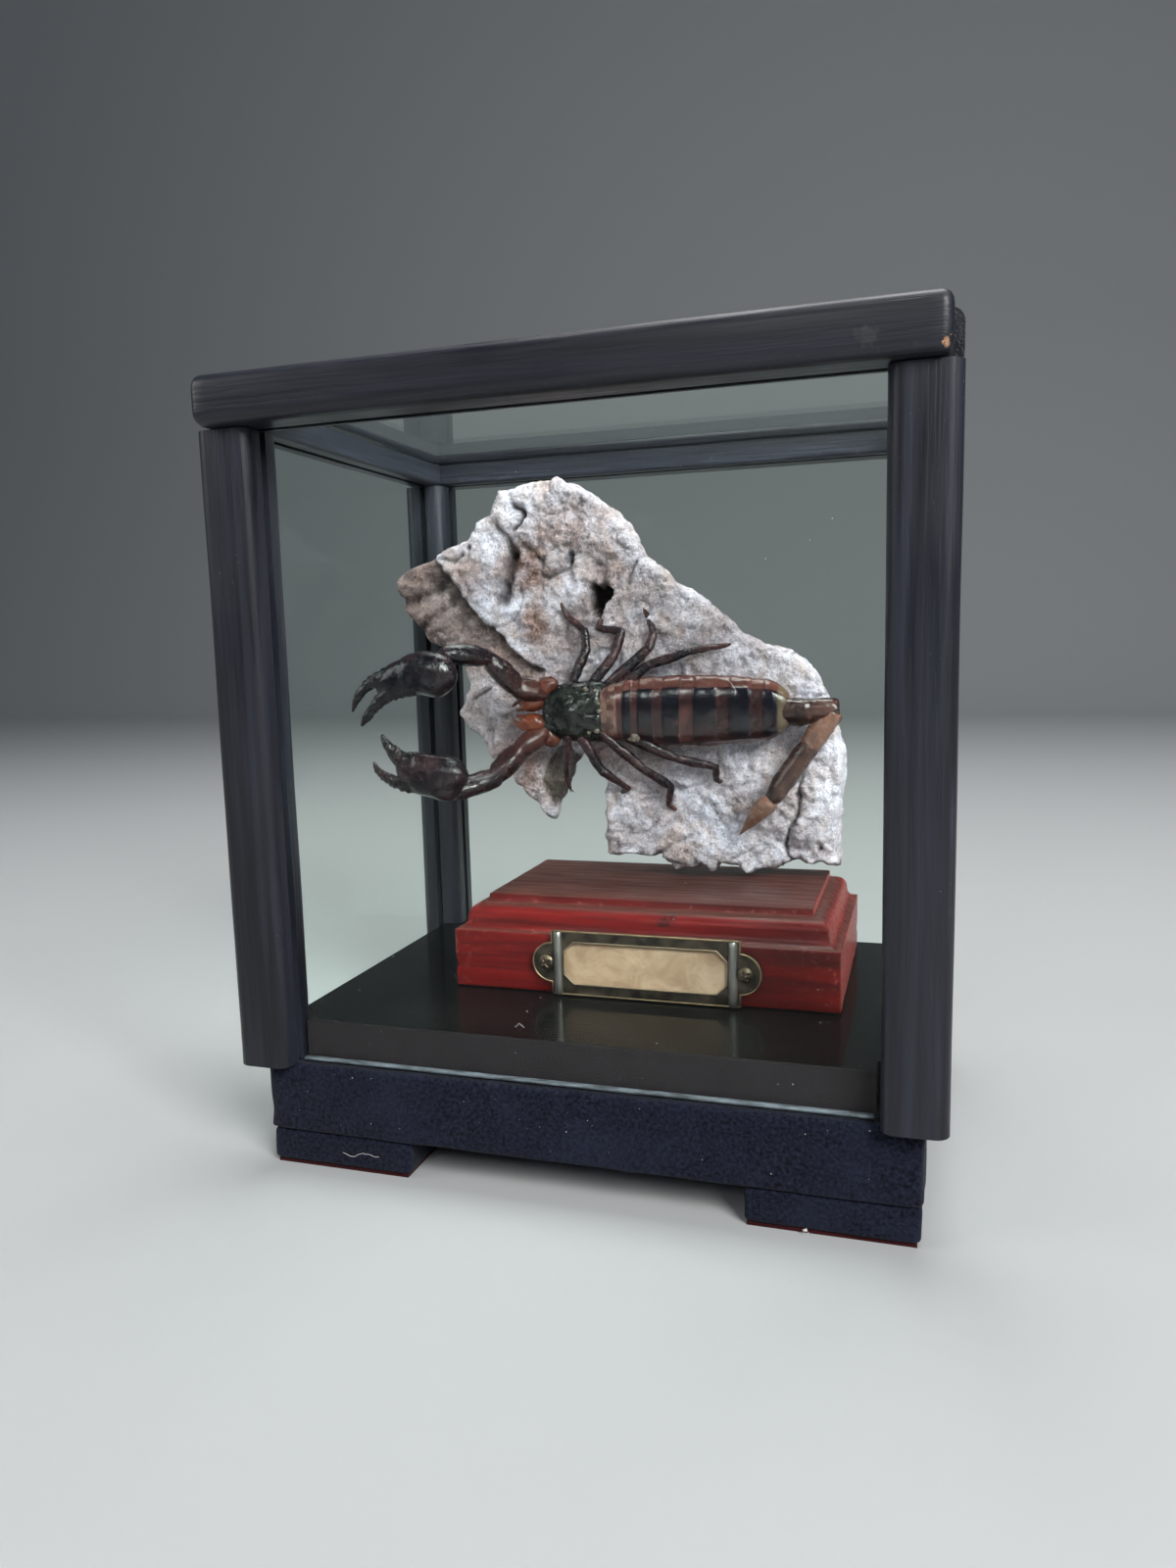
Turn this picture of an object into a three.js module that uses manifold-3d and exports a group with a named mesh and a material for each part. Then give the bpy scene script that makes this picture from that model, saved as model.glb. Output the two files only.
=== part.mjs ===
// Dried scorpion on a rock, on a red moulded block, in a small glazed wooden case.
// Millimetres. X runs left to right, Y from front to back, Z up.
// The origin is the bottom centre of the case, on the surface that it stands on.

import * as THREE from 'three';
import { mergeVertices } from 'three/addons/utils/BufferGeometryUtils.js';
import Module from 'manifold-3d';

const wasm = await Module();
wasm.setup();

// Driving dimensions

const GAP = 0.25;                 // play between pieces that touch
const SETTING = 0.3;              // play round each pane in its groove

const FRAME_WIDTH = 167;          // over the outer faces of the posts
const FRAME_DEPTH = 117;
const CASE_HEIGHT = 190;
const POST_SIDE = 14;
const POST_ROUND = 3.2;
const RAIL_HEIGHT = 11.5;
const RAIL_DEPTH = 14.5;          // front and back rails
const RAIL_PROUD = 4;             // how far they stand out past the posts
const RAIL_LENGTH = 162.6;
const SIDE_RAIL_WIDTH = 12.5;
const RAIL_ROUND = 3;

const PANE_THICKNESS = 2;
const GROOVE_DEPTH = 3;
const TOP_PANE_LEVEL = 185;       // underside of the top pane
const TOP_GROOVE_DEPTH = 2;

const PLINTH_WIDTH = 158;
const PLINTH_DEPTH = 108;
const PLINTH_TOP = 26.8;
const PLINTH_TAPER = 0.7;         // each side leans in by this much at the bottom
const BOARD_TOP = 37;
const BOARD_PLAY = 1;             // from the board's edge to the inner face of a pane
const FOOT_WIDTH = 38;
const FOOT_DEPTH = 30;
const FOOT_TOP = 9;
const FELT_THICKNESS = 0.8;
const FELT_INSET = 1;

const BLOCK_LEFT = -42.8;
const BLOCK_RIGHT = 58.7;
const BLOCK_FRONT = -16.4;
const BLOCK_BACK = 44.8;
const BLOCK_TOP = 61.2;

const HOLDER_WIDTH = 49.5;        // between the ears
const HOLDER_LENGTH = 60;         // over the ears
const HOLDER_HEIGHT = 16.8;
const HOLDER_THICKNESS = 1.4;
const HOLDER_CENTRE_X = 9.9;
const SCREW_SPACING = 52;
const SCREW_HEAD_RADIUS = 2;
const SCREW_SHANK_RADIUS = 0.9;
const SCREW_LENGTH = 7;

const ROCK_THICKNESS = 13;
const ROCK_FOOT = BLOCK_TOP + GAP;

// Solids from three.js shapes, and their joining and cutting

function solid(geometry) {
  const bare = geometry.index ? geometry.toNonIndexed() : geometry.clone();
  for (const name of Object.keys(bare.attributes)) {
    if (name !== 'position') bare.deleteAttribute(name);
  }
  const welded = mergeVertices(bare, 1e-4);
  const points = welded.attributes.position.array;
  const corner = (i) => new THREE.Vector3().fromArray(points, 3 * i);
  const faces = [];
  let volume = 0;
  for (let i = 0; i < welded.index.count; i += 3) {
    const [a, b, c] = [0, 1, 2].map((step) => welded.index.getX(i + step));
    if (a === b || b === c || c === a) continue;
    faces.push([a, b, c]);
    volume += corner(a).dot(corner(b).cross(corner(c)));
  }
  const outward = volume < 0 ? faces.map(([a, b, c]) => [a, c, b]) : faces;
  const mesh = new wasm.Mesh({
    numProp: 3,
    vertProperties: new Float32Array(points),
    triVerts: new Uint32Array(outward.flat()),
  });
  return new wasm.Manifold(mesh);
}

function join(solids) {
  return solids.reduce((whole, piece) => whole.add(piece));
}

function geometryOf(manifold) {
  const mesh = manifold.getMesh();
  const geometry = new THREE.BufferGeometry();
  geometry.setAttribute('position', new THREE.BufferAttribute(mesh.vertProperties, 3));
  geometry.setIndex(new THREE.BufferAttribute(mesh.triVerts, 1));
  return geometry;
}

function boxBetween(low, high) {
  const [x, y, z] = high.map((value, i) => value - low[i]);
  const box = new THREE.BoxGeometry(x, y, z);
  return solid(box.translate(low[0] + x / 2, low[1] + y / 2, low[2] + z / 2));
}

// A closed skin over a row of rings with the same number of points, flat at both ends
function skinGeometry(rings) {
  const count = rings[0].length;
  const points = rings.flat();
  const faces = [];
  for (let row = 0; row + 1 < rings.length; row += 1) {
    for (let i = 0; i < count; i += 1) {
      const next = (i + 1) % count;
      const [a, b] = [row * count + i, row * count + next];
      faces.push(a, b, b + count, a, b + count, a + count);
    }
  }
  for (const [row, flip] of [[0, true], [rings.length - 1, false]]) {
    const centre = points.length;
    const middle = new THREE.Vector3();
    rings[row].forEach((point) => middle.addScaledVector(point, 1 / count));
    points.push(middle);
    for (let i = 0; i < count; i += 1) {
      const pair = [row * count + i, row * count + (i + 1) % count];
      if (flip) pair.reverse();
      faces.push(pair[0], pair[1], centre);
    }
  }
  const geometry = new THREE.BufferGeometry().setFromPoints(points);
  geometry.setIndex(faces);
  return geometry;
}

const skinOver = (rings) => solid(skinGeometry(rings));

function roundedRectangle(width, height, radii) {
  const [w, h] = [width / 2, height / 2];
  const [lowerLeft, lowerRight, upperRight, upperLeft] = radii;
  const shape = new THREE.Shape();
  shape.moveTo(-w + lowerLeft, -h);
  shape.lineTo(w - lowerRight, -h);
  shape.absarc(w - lowerRight, -h + lowerRight, lowerRight, -Math.PI / 2, 0);
  shape.lineTo(w, h - upperRight);
  shape.absarc(w - upperRight, h - upperRight, upperRight, 0, Math.PI / 2);
  shape.lineTo(-w + upperLeft, h);
  shape.absarc(-w + upperLeft, h - upperLeft, upperLeft, Math.PI / 2, Math.PI);
  shape.lineTo(-w, -h + lowerLeft);
  shape.absarc(-w + lowerLeft, -h + lowerLeft, lowerLeft, Math.PI, 1.5 * Math.PI);
  return shape;
}

// A bar of rounded section with its end edges rounded over, centred on the origin along its own Z
function easedBar(section, length, ease) {
  const outline = section.getPoints(1);
  const [w, h] = ['x', 'y'].map((axis) => Math.max(...outline.map((point) => point[axis])));
  const outlineWithoutRepeat = outline.filter((point, i) => (
    i === 0 || point.distanceTo(outline[i - 1]) > 1e-4)).slice(0, -1);
  const turns = ease > 0 ? [0, Math.PI / 2] : [Math.PI / 2];
  const half = turns.map((turn) => [ease * (1 - Math.sin(turn)), length / 2 - ease * (1 - Math.cos(turn))]);
  const stations = [...half.map(([inset, reach]) => [inset, -reach]), ...half.reverse()];
  return skinGeometry(stations.map(([inset, z]) => outlineWithoutRepeat.map((point) => (
    new THREE.Vector3(point.x * (1 - inset / w), point.y * (1 - inset / h), z)))));
}

const materials = {
  stainedWood: { color: 0x1c1b21, roughness: 0.55, metalness: 0 },
  flock: { color: 0x11141c, roughness: 0.95, metalness: 0 },
  felt: { color: 0x3a0d0e, roughness: 1, metalness: 0 },
  lacquer: { color: 0x0b0d0c, roughness: 0.12, metalness: 0 },
  glass: { color: 0xcfe3dc, roughness: 0.05, metalness: 0, transparent: true, opacity: 0.25 },
  redWood: { color: 0x6d1712, roughness: 0.35, metalness: 0 },
  brass: { color: 0x6a5334, roughness: 0.4, metalness: 1 },
  card: { color: 0xcdb87f, roughness: 0.85, metalness: 0 },
  rock: { color: 0xa79a9b, roughness: 0.95, metalness: 0 },
  scorpion: { color: 0x1a1414, roughness: 0.3, metalness: 0 },
};

const display = new THREE.Group();
const base = new THREE.Group();
const frame = new THREE.Group();
const glazing = new THREE.Group();
const exhibit = new THREE.Group();
display.add(base, frame, glazing, exhibit);

function place(group, name, manifold, finish, position = [0, 0, 0]) {
  const mesh = new THREE.Mesh(geometryOf(manifold), new THREE.MeshStandardMaterial(materials[finish]));
  mesh.name = name;
  mesh.position.set(...position);
  group.add(mesh);
}

const SIDES = [['left', -1], ['right', 1]];
const ENDS = [['front', -1], ['back', 1]];

// Feet, felt pads, plinth and floor board

function foot() {
  const height = FOOT_TOP - FELT_THICKNESS - GAP;
  const corner = 1.5;
  const section = roundedRectangle(FOOT_WIDTH, FOOT_DEPTH, [corner, corner, corner, corner]);
  return solid(easedBar(section, height, 0.8).translate(0, 0, height / 2));
}

function feltPad() {
  const [x, y] = [FOOT_WIDTH / 2 - FELT_INSET, FOOT_DEPTH / 2 - FELT_INSET];
  return boxBetween([-x, -y, 0], [x, y, FELT_THICKNESS]);
}

for (const [side, sideX] of SIDES) {
  for (const [end, sideY] of ENDS) {
    const x = sideX * (PLINTH_WIDTH / 2 - PLINTH_TAPER - FOOT_WIDTH / 2);
    const y = sideY * (PLINTH_DEPTH / 2 - PLINTH_TAPER - FOOT_DEPTH / 2);
    place(base, `foot_${end}_${side}`, foot(), 'flock', [x, y, FELT_THICKNESS + GAP]);
    place(base, `felt_pad_${end}_${side}`, feltPad(), 'felt', [x, y, 0]);
  }
}

function rectangleRing(left, right, front, back, z) {
  return [[left, front], [right, front], [right, back], [left, back]]
    .map(([x, y]) => new THREE.Vector3(x, y, z));
}

function plinth() {
  const edge = 0.8;
  const levels = [
    [FOOT_TOP + GAP, PLINTH_TAPER + edge],
    [FOOT_TOP + GAP + edge, PLINTH_TAPER],
    [PLINTH_TOP - edge, 0],
    [PLINTH_TOP, edge],
  ];
  return skinOver(levels.map(([z, inset]) => {
    const [w, d] = [PLINTH_WIDTH / 2 - inset, PLINTH_DEPTH / 2 - inset];
    return rectangleRing(-w, w, -d, d, z);
  }));
}

const paneOffsetX = FRAME_WIDTH / 2 - POST_SIDE / 2;
const paneOffsetY = FRAME_DEPTH / 2 - POST_SIDE / 2;

function floorBoard() {
  const w = paneOffsetX - PANE_THICKNESS / 2 - BOARD_PLAY;
  const d = paneOffsetY - PANE_THICKNESS / 2 - BOARD_PLAY;
  const edge = 0.4;
  const levels = [[PLINTH_TOP + GAP, 0], [BOARD_TOP - edge, 0], [BOARD_TOP, edge]];
  const board = skinOver(levels.map(([z, inset]) => (
    rectangleRing(-w + inset, w - inset, -d + inset, d - inset, z))));
  const cornerCut = (sideX, sideY) => {
    const inner = [FRAME_WIDTH / 2 - POST_SIDE - BOARD_PLAY, FRAME_DEPTH / 2 - POST_SIDE - BOARD_PLAY];
    const x = [sideX * inner[0], sideX * FRAME_WIDTH].sort((a, b) => a - b);
    const y = [sideY * inner[1], sideY * FRAME_DEPTH].sort((a, b) => a - b);
    return boxBetween([x[0], y[0], 0], [x[1], y[1], CASE_HEIGHT]);
  };
  const corners = SIDES.flatMap(([, sideX]) => ENDS.map(([, sideY]) => cornerCut(sideX, sideY)));
  return corners.reduce((whole, cut) => whole.subtract(cut), board);
}

place(base, 'plinth', plinth(), 'flock');
place(base, 'floor_board', floorBoard(), 'lacquer');

// Posts and top rails, with the grooves that hold the panes

const railBottom = CASE_HEIGHT - RAIL_HEIGHT;
const postBottom = PLINTH_TOP + GAP;
const postTop = railBottom - GAP;
const paneBottom = PLINTH_TOP + 0.5;
const paneTop = railBottom + GROOVE_DEPTH - SETTING;
const grooveHalf = PANE_THICKNESS / 2 + SETTING;

function grooveCutters() {
  const reachX = FRAME_WIDTH / 2 - POST_SIDE + GROOVE_DEPTH;
  const reachY = FRAME_DEPTH / 2 - POST_SIDE + GROOVE_DEPTH;
  const top = railBottom + GROOVE_DEPTH;
  const cutters = [];
  for (const side of [-1, 1]) {
    const [x, y] = [side * paneOffsetX, side * paneOffsetY];
    cutters.push(boxBetween([x - grooveHalf, -reachY, 0], [x + grooveHalf, reachY, top]));
    cutters.push(boxBetween([-reachX, y - grooveHalf, 0], [reachX, y + grooveHalf, top]));
  }
  return join(cutters);
}

const grooves = grooveCutters();
const innerX = FRAME_WIDTH / 2 - SIDE_RAIL_WIDTH;
const innerY = FRAME_DEPTH / 2 + RAIL_PROUD - RAIL_DEPTH;

function topGroove() {
  const [x, y] = [innerX + TOP_GROOVE_DEPTH, innerY + TOP_GROOVE_DEPTH];
  const bottom = TOP_PANE_LEVEL - SETTING;
  return boxBetween([-x, -y, bottom], [x, y, TOP_PANE_LEVEL + PANE_THICKNESS + SETTING]);
}

function postAt(sideX, sideY) {
  const section = roundedRectangle(POST_SIDE, POST_SIDE, [POST_ROUND, POST_ROUND, POST_ROUND, POST_ROUND]);
  const bar = easedBar(section, postTop - postBottom, 0);
  bar.translate(sideX * paneOffsetX, sideY * paneOffsetY, (postTop + postBottom) / 2);
  return solid(bar).subtract(grooves);
}

function longRail(sideY) {
  const small = 1.2;
  const radii = [RAIL_ROUND, small, RAIL_ROUND, RAIL_ROUND];
  const bar = easedBar(roundedRectangle(RAIL_DEPTH, RAIL_HEIGHT, radii), RAIL_LENGTH, 1.8);
  bar.rotateX(Math.PI / 2).rotateZ(Math.PI / 2);
  if (sideY > 0) bar.rotateZ(Math.PI);
  const y = sideY * (FRAME_DEPTH / 2 + RAIL_PROUD - RAIL_DEPTH / 2);
  return solid(bar.translate(0, y, railBottom + RAIL_HEIGHT / 2)).subtract(grooves).subtract(topGroove());
}

function shortRail(sideX) {
  const small = 1.2;
  const radii = [small, RAIL_ROUND, RAIL_ROUND, RAIL_ROUND];
  const bar = easedBar(roundedRectangle(SIDE_RAIL_WIDTH, RAIL_HEIGHT, radii), 2 * (innerY - GAP), 0);
  bar.rotateX(Math.PI / 2);
  if (sideX < 0) bar.rotateZ(Math.PI);
  const x = sideX * (FRAME_WIDTH / 2 - SIDE_RAIL_WIDTH / 2);
  return solid(bar.translate(x, 0, railBottom + RAIL_HEIGHT / 2)).subtract(grooves).subtract(topGroove());
}

for (const [side, sideX] of SIDES) {
  for (const [end, sideY] of ENDS) place(frame, `post_${end}_${side}`, postAt(sideX, sideY), 'stainedWood');
}
for (const [end, sideY] of ENDS) place(frame, `top_rail_${end}`, longRail(sideY), 'stainedWood');
for (const [side, sideX] of SIDES) place(frame, `top_rail_${side}`, shortRail(sideX), 'stainedWood');

// Panes

function uprightPane(halfX, halfY) {
  return boxBetween([-halfX, -halfY, paneBottom], [halfX, halfY, paneTop]);
}

const paneHalf = PANE_THICKNESS / 2;
const reachIntoPost = GROOVE_DEPTH - SETTING - POST_SIDE;

for (const [end, sideY] of ENDS) {
  const pane = uprightPane(FRAME_WIDTH / 2 + reachIntoPost, paneHalf);
  place(glazing, `glass_${end}`, pane, 'glass', [0, sideY * paneOffsetY, 0]);
}
for (const [side, sideX] of SIDES) {
  const pane = uprightPane(paneHalf, FRAME_DEPTH / 2 + reachIntoPost);
  place(glazing, `glass_${side}`, pane, 'glass', [sideX * paneOffsetX, 0, 0]);
}

function topPane() {
  const [x, y] = [innerX, innerY].map((inner) => inner + TOP_GROOVE_DEPTH - SETTING);
  return boxBetween([-x, -y, 0], [x, y, PANE_THICKNESS]);
}

place(glazing, 'glass_top', topPane(), 'glass', [0, 0, TOP_PANE_LEVEL]);

// Red block with the same moulding on all four sides

// Inset from the block's side and height, up the moulding
function mouldingProfile() {
  const points = [[0.5, BOARD_TOP + GAP], [0, BOARD_TOP + GAP + 0.5], [0, 52.4]];
  const cove = { inset: 2.7, low: 52.6, high: 55 };
  for (let i = 0; i <= 4; i += 1) {
    const turn = (i / 4) * (Math.PI / 2);
    points.push([cove.inset * Math.sin(turn), cove.high - (cove.high - cove.low) * Math.cos(turn)]);
  }
  const round = { start: 2.9, end: 6.7, low: 56, high: 59.2 };
  for (let i = 0; i <= 5; i += 1) {
    const turn = (i / 5) * (Math.PI / 2);
    const inset = round.start + (round.end - round.start) * (1 - Math.cos(turn));
    points.push([inset, round.low + (round.high - round.low) * Math.sin(turn)]);
  }
  points.push([7.3, 59.6], [7.3, BLOCK_TOP - 0.3], [7.6, BLOCK_TOP]);
  return points;
}

const holderCentreZ = BOARD_TOP + 0.5 + HOLDER_HEIGHT / 2;

function screwHole(x) {
  const radius = SCREW_SHANK_RADIUS + GAP;
  const hole = new THREE.CylinderGeometry(radius, radius, SCREW_LENGTH + 1, 6);
  return solid(hole.translate(x, BLOCK_FRONT + SCREW_LENGTH / 2, holderCentreZ));
}

function displayBlock() {
  const body = skinOver(mouldingProfile().map(([inset, z]) => rectangleRing(
    BLOCK_LEFT + inset, BLOCK_RIGHT - inset, BLOCK_FRONT + inset, BLOCK_BACK - inset, z)));
  return SIDES.reduce((whole, [, sideX]) => (
    whole.subtract(screwHole(HOLDER_CENTRE_X + sideX * SCREW_SPACING / 2))), body);
}

place(exhibit, 'display_block', displayBlock(), 'redWood');

// Card holder: a pressed plate with two screw ears, a window and a raised fold at each end

const windowHalf = [21.3, 5.6];

function windowShape(inset) {
  const [w, h] = windowHalf.map((half) => half + inset);
  const cut = 2.6;
  return new THREE.Path([
    [-w + cut, -h], [w - cut, -h], [w, -h + cut], [w, h - cut],
    [w - cut, h], [-w + cut, h], [-w, h - cut], [-w, -h + cut],
  ].map(([x, y]) => new THREE.Vector2(x, y)));
}

function holderOutline() {
  const [w, h] = [HOLDER_WIDTH / 2, HOLDER_HEIGHT / 2];
  const earRadius = 5.2;
  const earReach = HOLDER_LENGTH / 2 - earRadius;
  const turn = Math.acos((w - earReach) / earRadius);
  const shape = new THREE.Shape();
  shape.moveTo(-w, -h);
  shape.lineTo(w, -h);
  shape.absarc(earReach, 0, earRadius, -turn, turn);
  shape.lineTo(w, h);
  shape.lineTo(-w, h);
  shape.absarc(-earReach, 0, earRadius, Math.PI - turn, Math.PI + turn);
  return shape;
}

function labelHolder() {
  const outline = holderOutline();
  outline.holes.push(windowShape(0));
  for (const side of [-1, 1]) {
    const hole = new THREE.Path();
    hole.absarc(side * SCREW_SPACING / 2, 0, SCREW_SHANK_RADIUS + GAP, 0, 2 * Math.PI);
    outline.holes.push(hole);
  }
  const plate = solid(new THREE.ExtrudeGeometry(outline, {
    depth: HOLDER_THICKNESS, curveSegments: 5, bevelEnabled: false,
  }));
  const folds = [-1, 1].map((side) => {
    const fold = new THREE.CylinderGeometry(1.1, 1.1, HOLDER_HEIGHT, 6);
    return solid(fold.translate(side * (HOLDER_WIDTH / 2 - 1.9), 0, HOLDER_THICKNESS));
  });
  const lip = [windowHalf[0] + 1.2, windowHalf[1] + 1];
  const pocket = boxBetween([-lip[0], -lip[1], -1], [lip[0], lip[1], 0.75]);
  return join([plate, ...folds]).subtract(pocket).rotate([90, 0, 0]);
}

function labelCard() {
  const [x, z] = [windowHalf[0] + 1, windowHalf[1] + 0.8];
  return boxBetween([-x, -0.5, -z], [x, -0.1, z]);
}

function screw() {
  const rim = SCREW_HEAD_RADIUS;
  const head = [[0, 0], [rim, 0], [rim, 0.35], [0.75 * rim, 0.9], [0.4 * rim, 1.15], [0, 1.2]];
  const profile = head.map(([radius, height]) => new THREE.Vector2(radius, height));
  const dome = solid(new THREE.LatheGeometry(profile, 8));
  const shank = solid(new THREE.CylinderGeometry(SCREW_SHANK_RADIUS, 0.3, SCREW_LENGTH, 6)
    .translate(0, -SCREW_LENGTH / 2 + 0.5, 0));
  const slots = [[0.3, 1.3], [1.3, 0.3]].map(([a, b]) => boxBetween([-a, 0.7, -b], [a, 2, b]));
  return dome.add(shank).subtract(join(slots)).rotate([180, 0, 0]);
}

const holder = new THREE.Group();
holder.position.set(HOLDER_CENTRE_X, BLOCK_FRONT - GAP, holderCentreZ);
exhibit.add(holder);
place(holder, 'label_holder', labelHolder(), 'brass');
place(holder, 'label_card', labelCard(), 'card');
for (const [side, sideX] of SIDES) {
  const seat = [sideX * SCREW_SPACING / 2, -HOLDER_THICKNESS - GAP, 0];
  place(holder, `label_screw_${side}`, screw(), 'brass', seat);
}

// Rock: a crusty slab, turned a little so that its left end comes forward

const CRUST_RIGHT = [
  [48, ROCK_FOOT], [54.5, 64], [56.5, 67], [56, 73], [56.5, 98.5], [52, 109], [44.5, 119], [35.5, 121.5],
  [27.5, 131], [12, 142.5], [2, 152], [-4, 163], [-12.5, 169.5], [-18, 173.8],
];
const CRUST_LEFT = [
  [4, ROCK_FOOT], [-9, 64], [-11.5, 67], [-10.5, 82], [-11, 90], [-16, 98], [-22, 106], [-27, 114],
  [-27, 121], [-35, 127], [-44, 136.5], [-54, 147], [-57, 153], [-52, 158], [-44, 164.5], [-41.5, 169.5],
  [-30, 173.8],
];
const LOBE_LEFT = [
  [-25.5, 76.5], [-30, 81], [-40, 91.5], [-47, 99], [-52.5, 108], [-58, 119.5], [-67, 132.5], [-73, 144],
  [-70, 149], [-58, 155],
];
const LOBE_RIGHT = [
  [-24, 76.5], [-22.5, 82], [-20, 90], [-15, 98], [-10, 110], [-18, 125], [-30, 138], [-44, 152],
  [-48, 155],
];

function edgeAt(edge, z) {
  const upper = edge.findIndex(([, height]) => height >= z);
  if (upper === 0) return edge[0][0];
  if (upper < 0) return edge.at(-1)[0];
  const [[x0, z0], [x1, z1]] = [edge[upper - 1], edge[upper]];
  return x0 + ((x1 - x0) * (z - z0)) / (z1 - z0);
}

function lattice(i, j) {
  const wave = Math.sin(i * 127.1 + j * 311.7) * 43758.5453;
  return wave - Math.floor(wave);
}

// Smooth noise from 0 to 1 over the plane, with one random height at each lattice point
function lumpiness(x, z, size) {
  const [u, w] = [x / size, z / size];
  const [i, j] = [Math.floor(u), Math.floor(w)];
  const ease = (t) => t * t * (3 - 2 * t);
  const [a, b] = [ease(u - i), ease(w - j)];
  const low = lattice(i, j) * (1 - a) + lattice(i + 1, j) * a;
  const high = lattice(i, j + 1) * (1 - a) + lattice(i + 1, j + 1) * a;
  return low * (1 - b) + high * b;
}

function rockFace(x, z) {
  const lumps = 3.4 * lumpiness(x, z, 17) + 1.8 * lumpiness(x + 40, z, 7.5);
  return 22.6 + 0.1 * x - lumps;
}

// A closed ring at one height: nearly flat in front and behind, widest close to the front
function rockRing(left, right, z, count, setBack, thickness) {
  const [centre, half] = [(left + right) / 2, (right - left) / 2];
  return Array.from({ length: count }, (_, i) => {
    const turn = (2 * Math.PI * (i + 0.5)) / count;
    const [across, deep] = [Math.cos(turn), Math.sin(turn)];
    const x = centre + half * Math.sign(across) * Math.abs(across) ** 0.8;
    const front = rockFace(x, z) + setBack;
    const back = 21 + 0.1 * x + setBack + thickness - 3 * lumpiness(x + 90, z + 30, 14);
    const rim = front + 0.32 * (back - front);
    const reach = deep < 0 ? rim - front : back - rim;
    const ragged = 1.4 * (lumpiness(x * 2 + 7, z * 2, 9) - 0.5) * Math.abs(across);
    return new THREE.Vector3(x + ragged, rim + reach * Math.sign(deep) * Math.abs(deep) ** 0.5, z);
  });
}

function rockLoft(leftEdge, rightEdge, levels, count, setBack, thickness) {
  return skinOver(levels.map((z, row) => {
    const end = row === 0 || row === levels.length - 1;
    const reach = end ? thickness * 0.7 : thickness;
    return rockRing(edgeAt(leftEdge, z), edgeAt(rightEdge, z), z, count, setBack, reach);
  }));
}

function levelsBetween(low, high, count) {
  return Array.from({ length: count }, (_, i) => low + ((high - low) * i) / (count - 1));
}

function rockHole() {
  const outline = [
    [-12.5, 145], [-9.6, 143.4], [-6, 142.8], [-7.4, 138], [-6.2, 133.5], [-11.4, 132], [-12.8, 138],
  ];
  const shape = new THREE.Shape(outline.map(([x, z]) => new THREE.Vector2(x, z)));
  const prism = new THREE.ExtrudeGeometry(shape, { depth: 80, bevelEnabled: false });
  return solid(prism.rotateX(Math.PI / 2).translate(0, 60, 0));
}

function rockPit(x, z, radius, depth) {
  const cone = new THREE.ConeGeometry(radius, depth * 2, 6);
  cone.rotateX(Math.PI / 2);
  return solid(cone.translate(x, rockFace(x, z), z));
}

// A low uneven boss on the rock's face
function crustLump(x, z, width, height, proud) {
  const lump = new THREE.IcosahedronGeometry(1, 1);
  const points = lump.attributes.position;
  for (let i = 0; i < points.count; i += 1) {
    const corner = new THREE.Vector3().fromBufferAttribute(points, i);
    const uneven = 0.75 + 0.5 * lumpiness(3 * corner.x + x, 3 * corner.z + z, 0.8);
    points.setXYZ(i, corner.x * uneven * width / 2, corner.y * proud * 2, corner.z * uneven * height / 2);
  }
  return solid(lump.translate(x, rockFace(x, z) + proud, z));
}

function rockSolid() {
  const crust = rockLoft(CRUST_LEFT, CRUST_RIGHT, levelsBetween(ROCK_FOOT, 174, 26), 28, 0, ROCK_THICKNESS);
  const lobe = rockLoft(LOBE_LEFT, LOBE_RIGHT, levelsBetween(76.5, 155, 17), 18, 3.4, ROCK_THICKNESS - 4);
  const lumps = [
    crustLump(-31, 138, 19, 20, 1.5), crustLump(-24, 160, 26, 17, 1.1), crustLump(-42, 152, 19, 17, 1.3),
    crustLump(16, 68, 22, 11, 1.1), crustLump(48, 77, 12, 26, 1.1),
  ];
  return join([crust, lobe, ...lumps]).subtract(rockHole())
    .subtract(rockPit(-19.5, 152, 1.8, 4)).subtract(rockPit(-33.5, 161.5, 2.2, 4));
}

// Scorpion: back towards the viewer, head to the left, held on the rock by its feet and belly

const AXIS_Z = 109;
const bodyPlane = (x) => 13.2 + 0.08 * x;

// A limb as one skin along its joints. Between joints it swells by the given share
function limb(joints, radii, grow, sides = 5, swell = 0) {
  const points = joints.map(([x, y, z]) => new THREE.Vector3(x, y, z));
  const heading = (i, j) => new THREE.Vector3().subVectors(points[j], points[i]).normalize();
  const last = points.length - 1;
  const stations = [];
  points.forEach((point, i) => {
    const before = heading(Math.max(i - 1, 0), Math.max(i, 1));
    const after = heading(Math.min(i, last - 1), Math.min(i + 1, last));
    stations.push({ point, radius: radii[i], along: before.add(after).normalize() });
    if (swell > 0 && i < last) {
      const middle = point.clone().lerp(points[i + 1], 0.55);
      stations.push({ point: middle, radius: ((radii[i] + radii[i + 1]) / 2) * (1 + swell), along: after });
    }
  });
  return skinOver(stations.map(({ point, radius, along }) => {
    const side = new THREE.Vector3(0, 1, 0).cross(along).normalize();
    const up = new THREE.Vector3().crossVectors(along, side);
    return Array.from({ length: sides }, (_, k) => {
      const turn = (2 * Math.PI * k) / sides;
      return point.clone()
        .addScaledVector(side, (radius + grow) * Math.cos(turn))
        .addScaledVector(up, (radius + grow) * Math.sin(turn));
    });
  }));
}

function blob(centre, radii, turnY, grow, across = 8, around = 5) {
  const ball = new THREE.SphereGeometry(1, across, around);
  ball.scale(radii[0] + grow, radii[1] + grow, radii[2] + grow);
  return solid(ball.rotateY(turnY).translate(...centre));
}

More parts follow.
